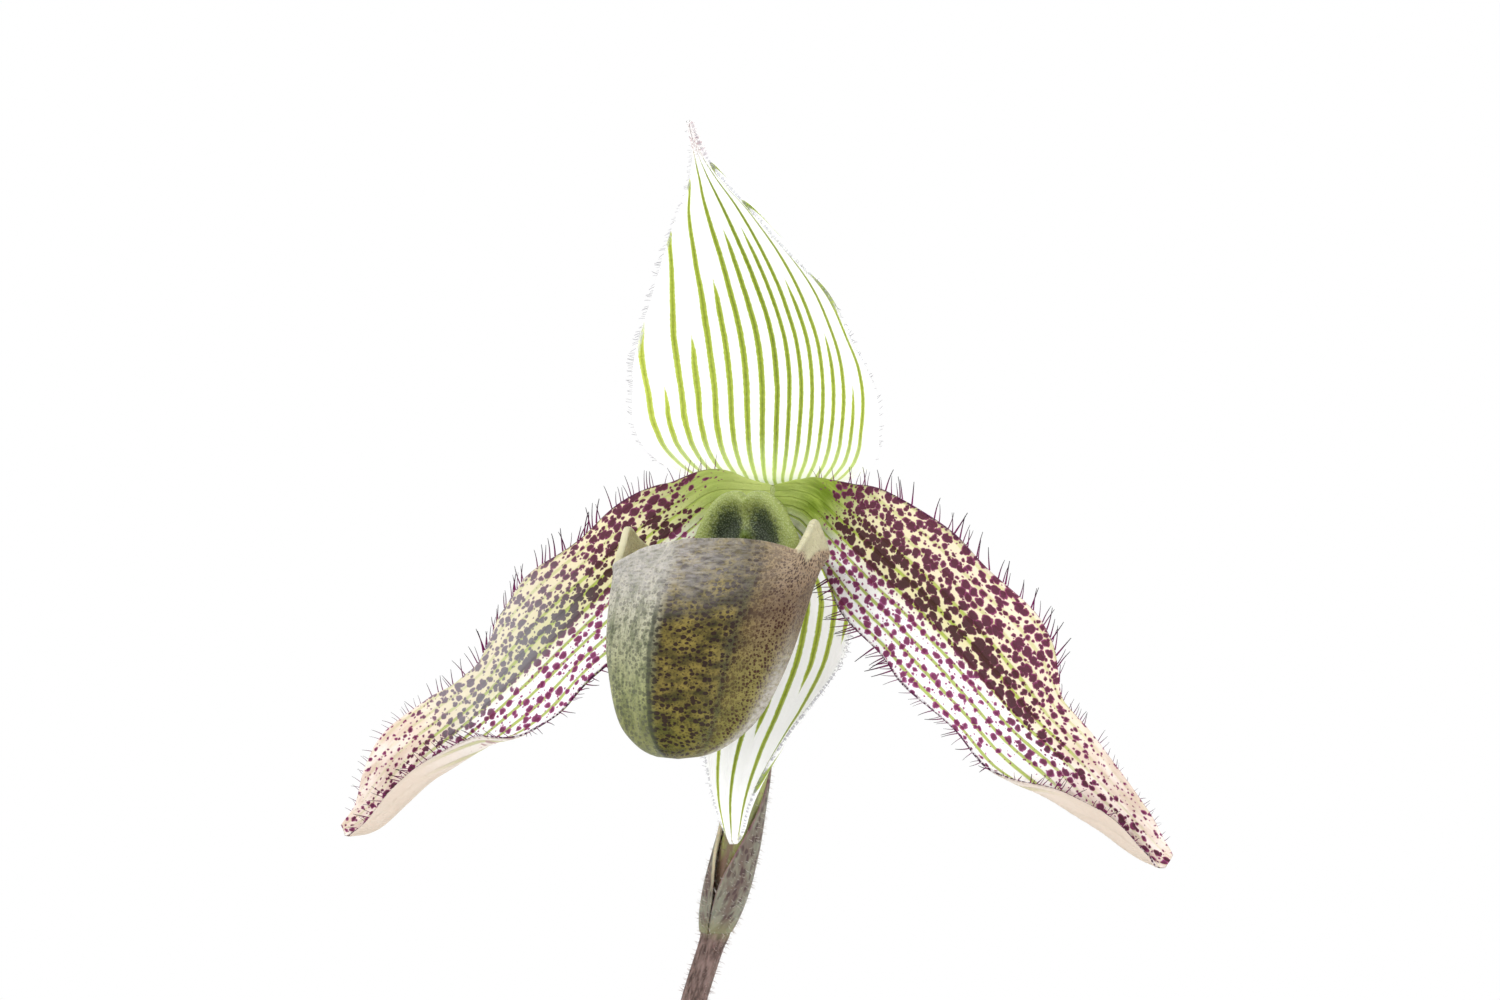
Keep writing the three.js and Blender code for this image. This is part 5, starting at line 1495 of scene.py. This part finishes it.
def shield():
    """The shield of the column, its face towards us."""
    angle = once_round(144)
    from_top = np.degrees(abs(np.arctan2(np.sin(angle), np.cos(angle))))
    reach = table(SHIELD_REACH)(from_top)[:, 0]
    rings, lobes, teeth, flats = [], [], [], []
    for share, ahead in SHIELD_RINGS:
        x, z = reach * share * np.sin(angle), reach * share * np.cos(angle)
        face = 1.0 if ahead > 4 and share < 0.9 else 0.0
        bowl = 0.35 * hump(abs(x), 2.2, 1.4) * hump(z, 0.4, 2.6)
        ridge = 0.2 * hump(x, 0, 0.6) * fade(z, -3, -1) + 0.3 * hump(x, 0, 0.6) * hump(z, 0, 0.5)
        rings.append(np.stack([x, -(ahead + face * (ridge - bowl)), z - 5.2], -1))
        lobe = hump(abs(x), 2.5 - 0.2 * z, 2.4) * (1 - fade(z, 2.4, 5)) * (1 - 0.35 * fade(z, 0.5, 3))
        netted = 0.62 * (1 - fade(z, 0.4, 2.6)) * (1 - fade(abs(x), 2.6, 4.4))
        lobes.append(face * np.maximum(lobe, netted))
        teeth.append(face * fade(hump(x, 0, 0.6) * hump(z, 0, 0.5), 0.3, 0.7))
        flats.append(np.stack([x, z, 0 * x], -1))
    return loft(np.array(rings), [0, -3.1, -5.2], [0, -4.9, -5.2], lobe=np.array(lobes),
                tooth=np.array(teeth), flat=np.array(flats))


print("the shield reaches up to", max(reach for turn, reach in SHIELD_REACH), "mm from its middle")

# %% Small bodies behind the shield, and the whole column
SMALL_ROUND = 28


def plain_marks(rings):
    """The marks of a body that only takes the pale colour."""
    none = np.zeros(rings.shape[:2])
    return {"lobe": none, "tooth": none, "flat": rings[..., [0, 2, 1]] * 1.0}


def ball(middle, radii):
    """A rounded body with half axes radii."""
    rise = np.radians(np.linspace(-90, 90, 16)[1:-1])
    rings = wheels(np.cos(rise), np.sin(rise), SMALL_ROUND) * radii + middle
    low, high = np.array(middle) - [0, 0, radii[2]], np.array(middle) + [0, 0, radii[2]]
    return loft(rings, low, high, **plain_marks(rings))


def rod(start, end, radius):
    """A straight rod with rounded ends."""
    start, end = np.array(start, float), np.array(end, float)
    ahead = unit(end - start)
    side = unit(np.cross(ahead, [0.3, 0.2, 1]))
    other = np.cross(ahead, side)
    angle = once_round(SMALL_ROUND)
    ring = side * np.cos(angle)[:, None] + other * np.sin(angle)[:, None]
    share = np.array([0, 0.02, 0.06, 0.25, 0.5, 0.75, 0.94, 0.98, 1])[:, None, None]
    rings = start + (end - start) * share + ring * radius * np.sqrt(1 - abs(2 * share - 1) ** 40 * 0.96)
    return loft(rings, start, end, **plain_marks(rings))


base = rod([0, 4.8, -1.6], [0, 2.4, -1.6], 2.2)
neck = rod([0, 3.5, -2.8], [0, -3.5, -2.8], 1.9)
foot = rod([0, 2.4, -2.75], [0, 2.4, -6.15], 1)
anthers = [ball([x, -1.6, -2.8], [1.3, 1.69, 1.17]) for x in (-2.6, 2.6)]
stigma = ball([0, -2.4, -5], [2.64, 1.2, 1.08])
points, faces, marks = joined(shield(), base, neck, foot, *anthers, stigma)
column = piece_from("column_shield", (in_bloom(points), faces, marks), column_skin)
dress(column, "column_skin", "column")
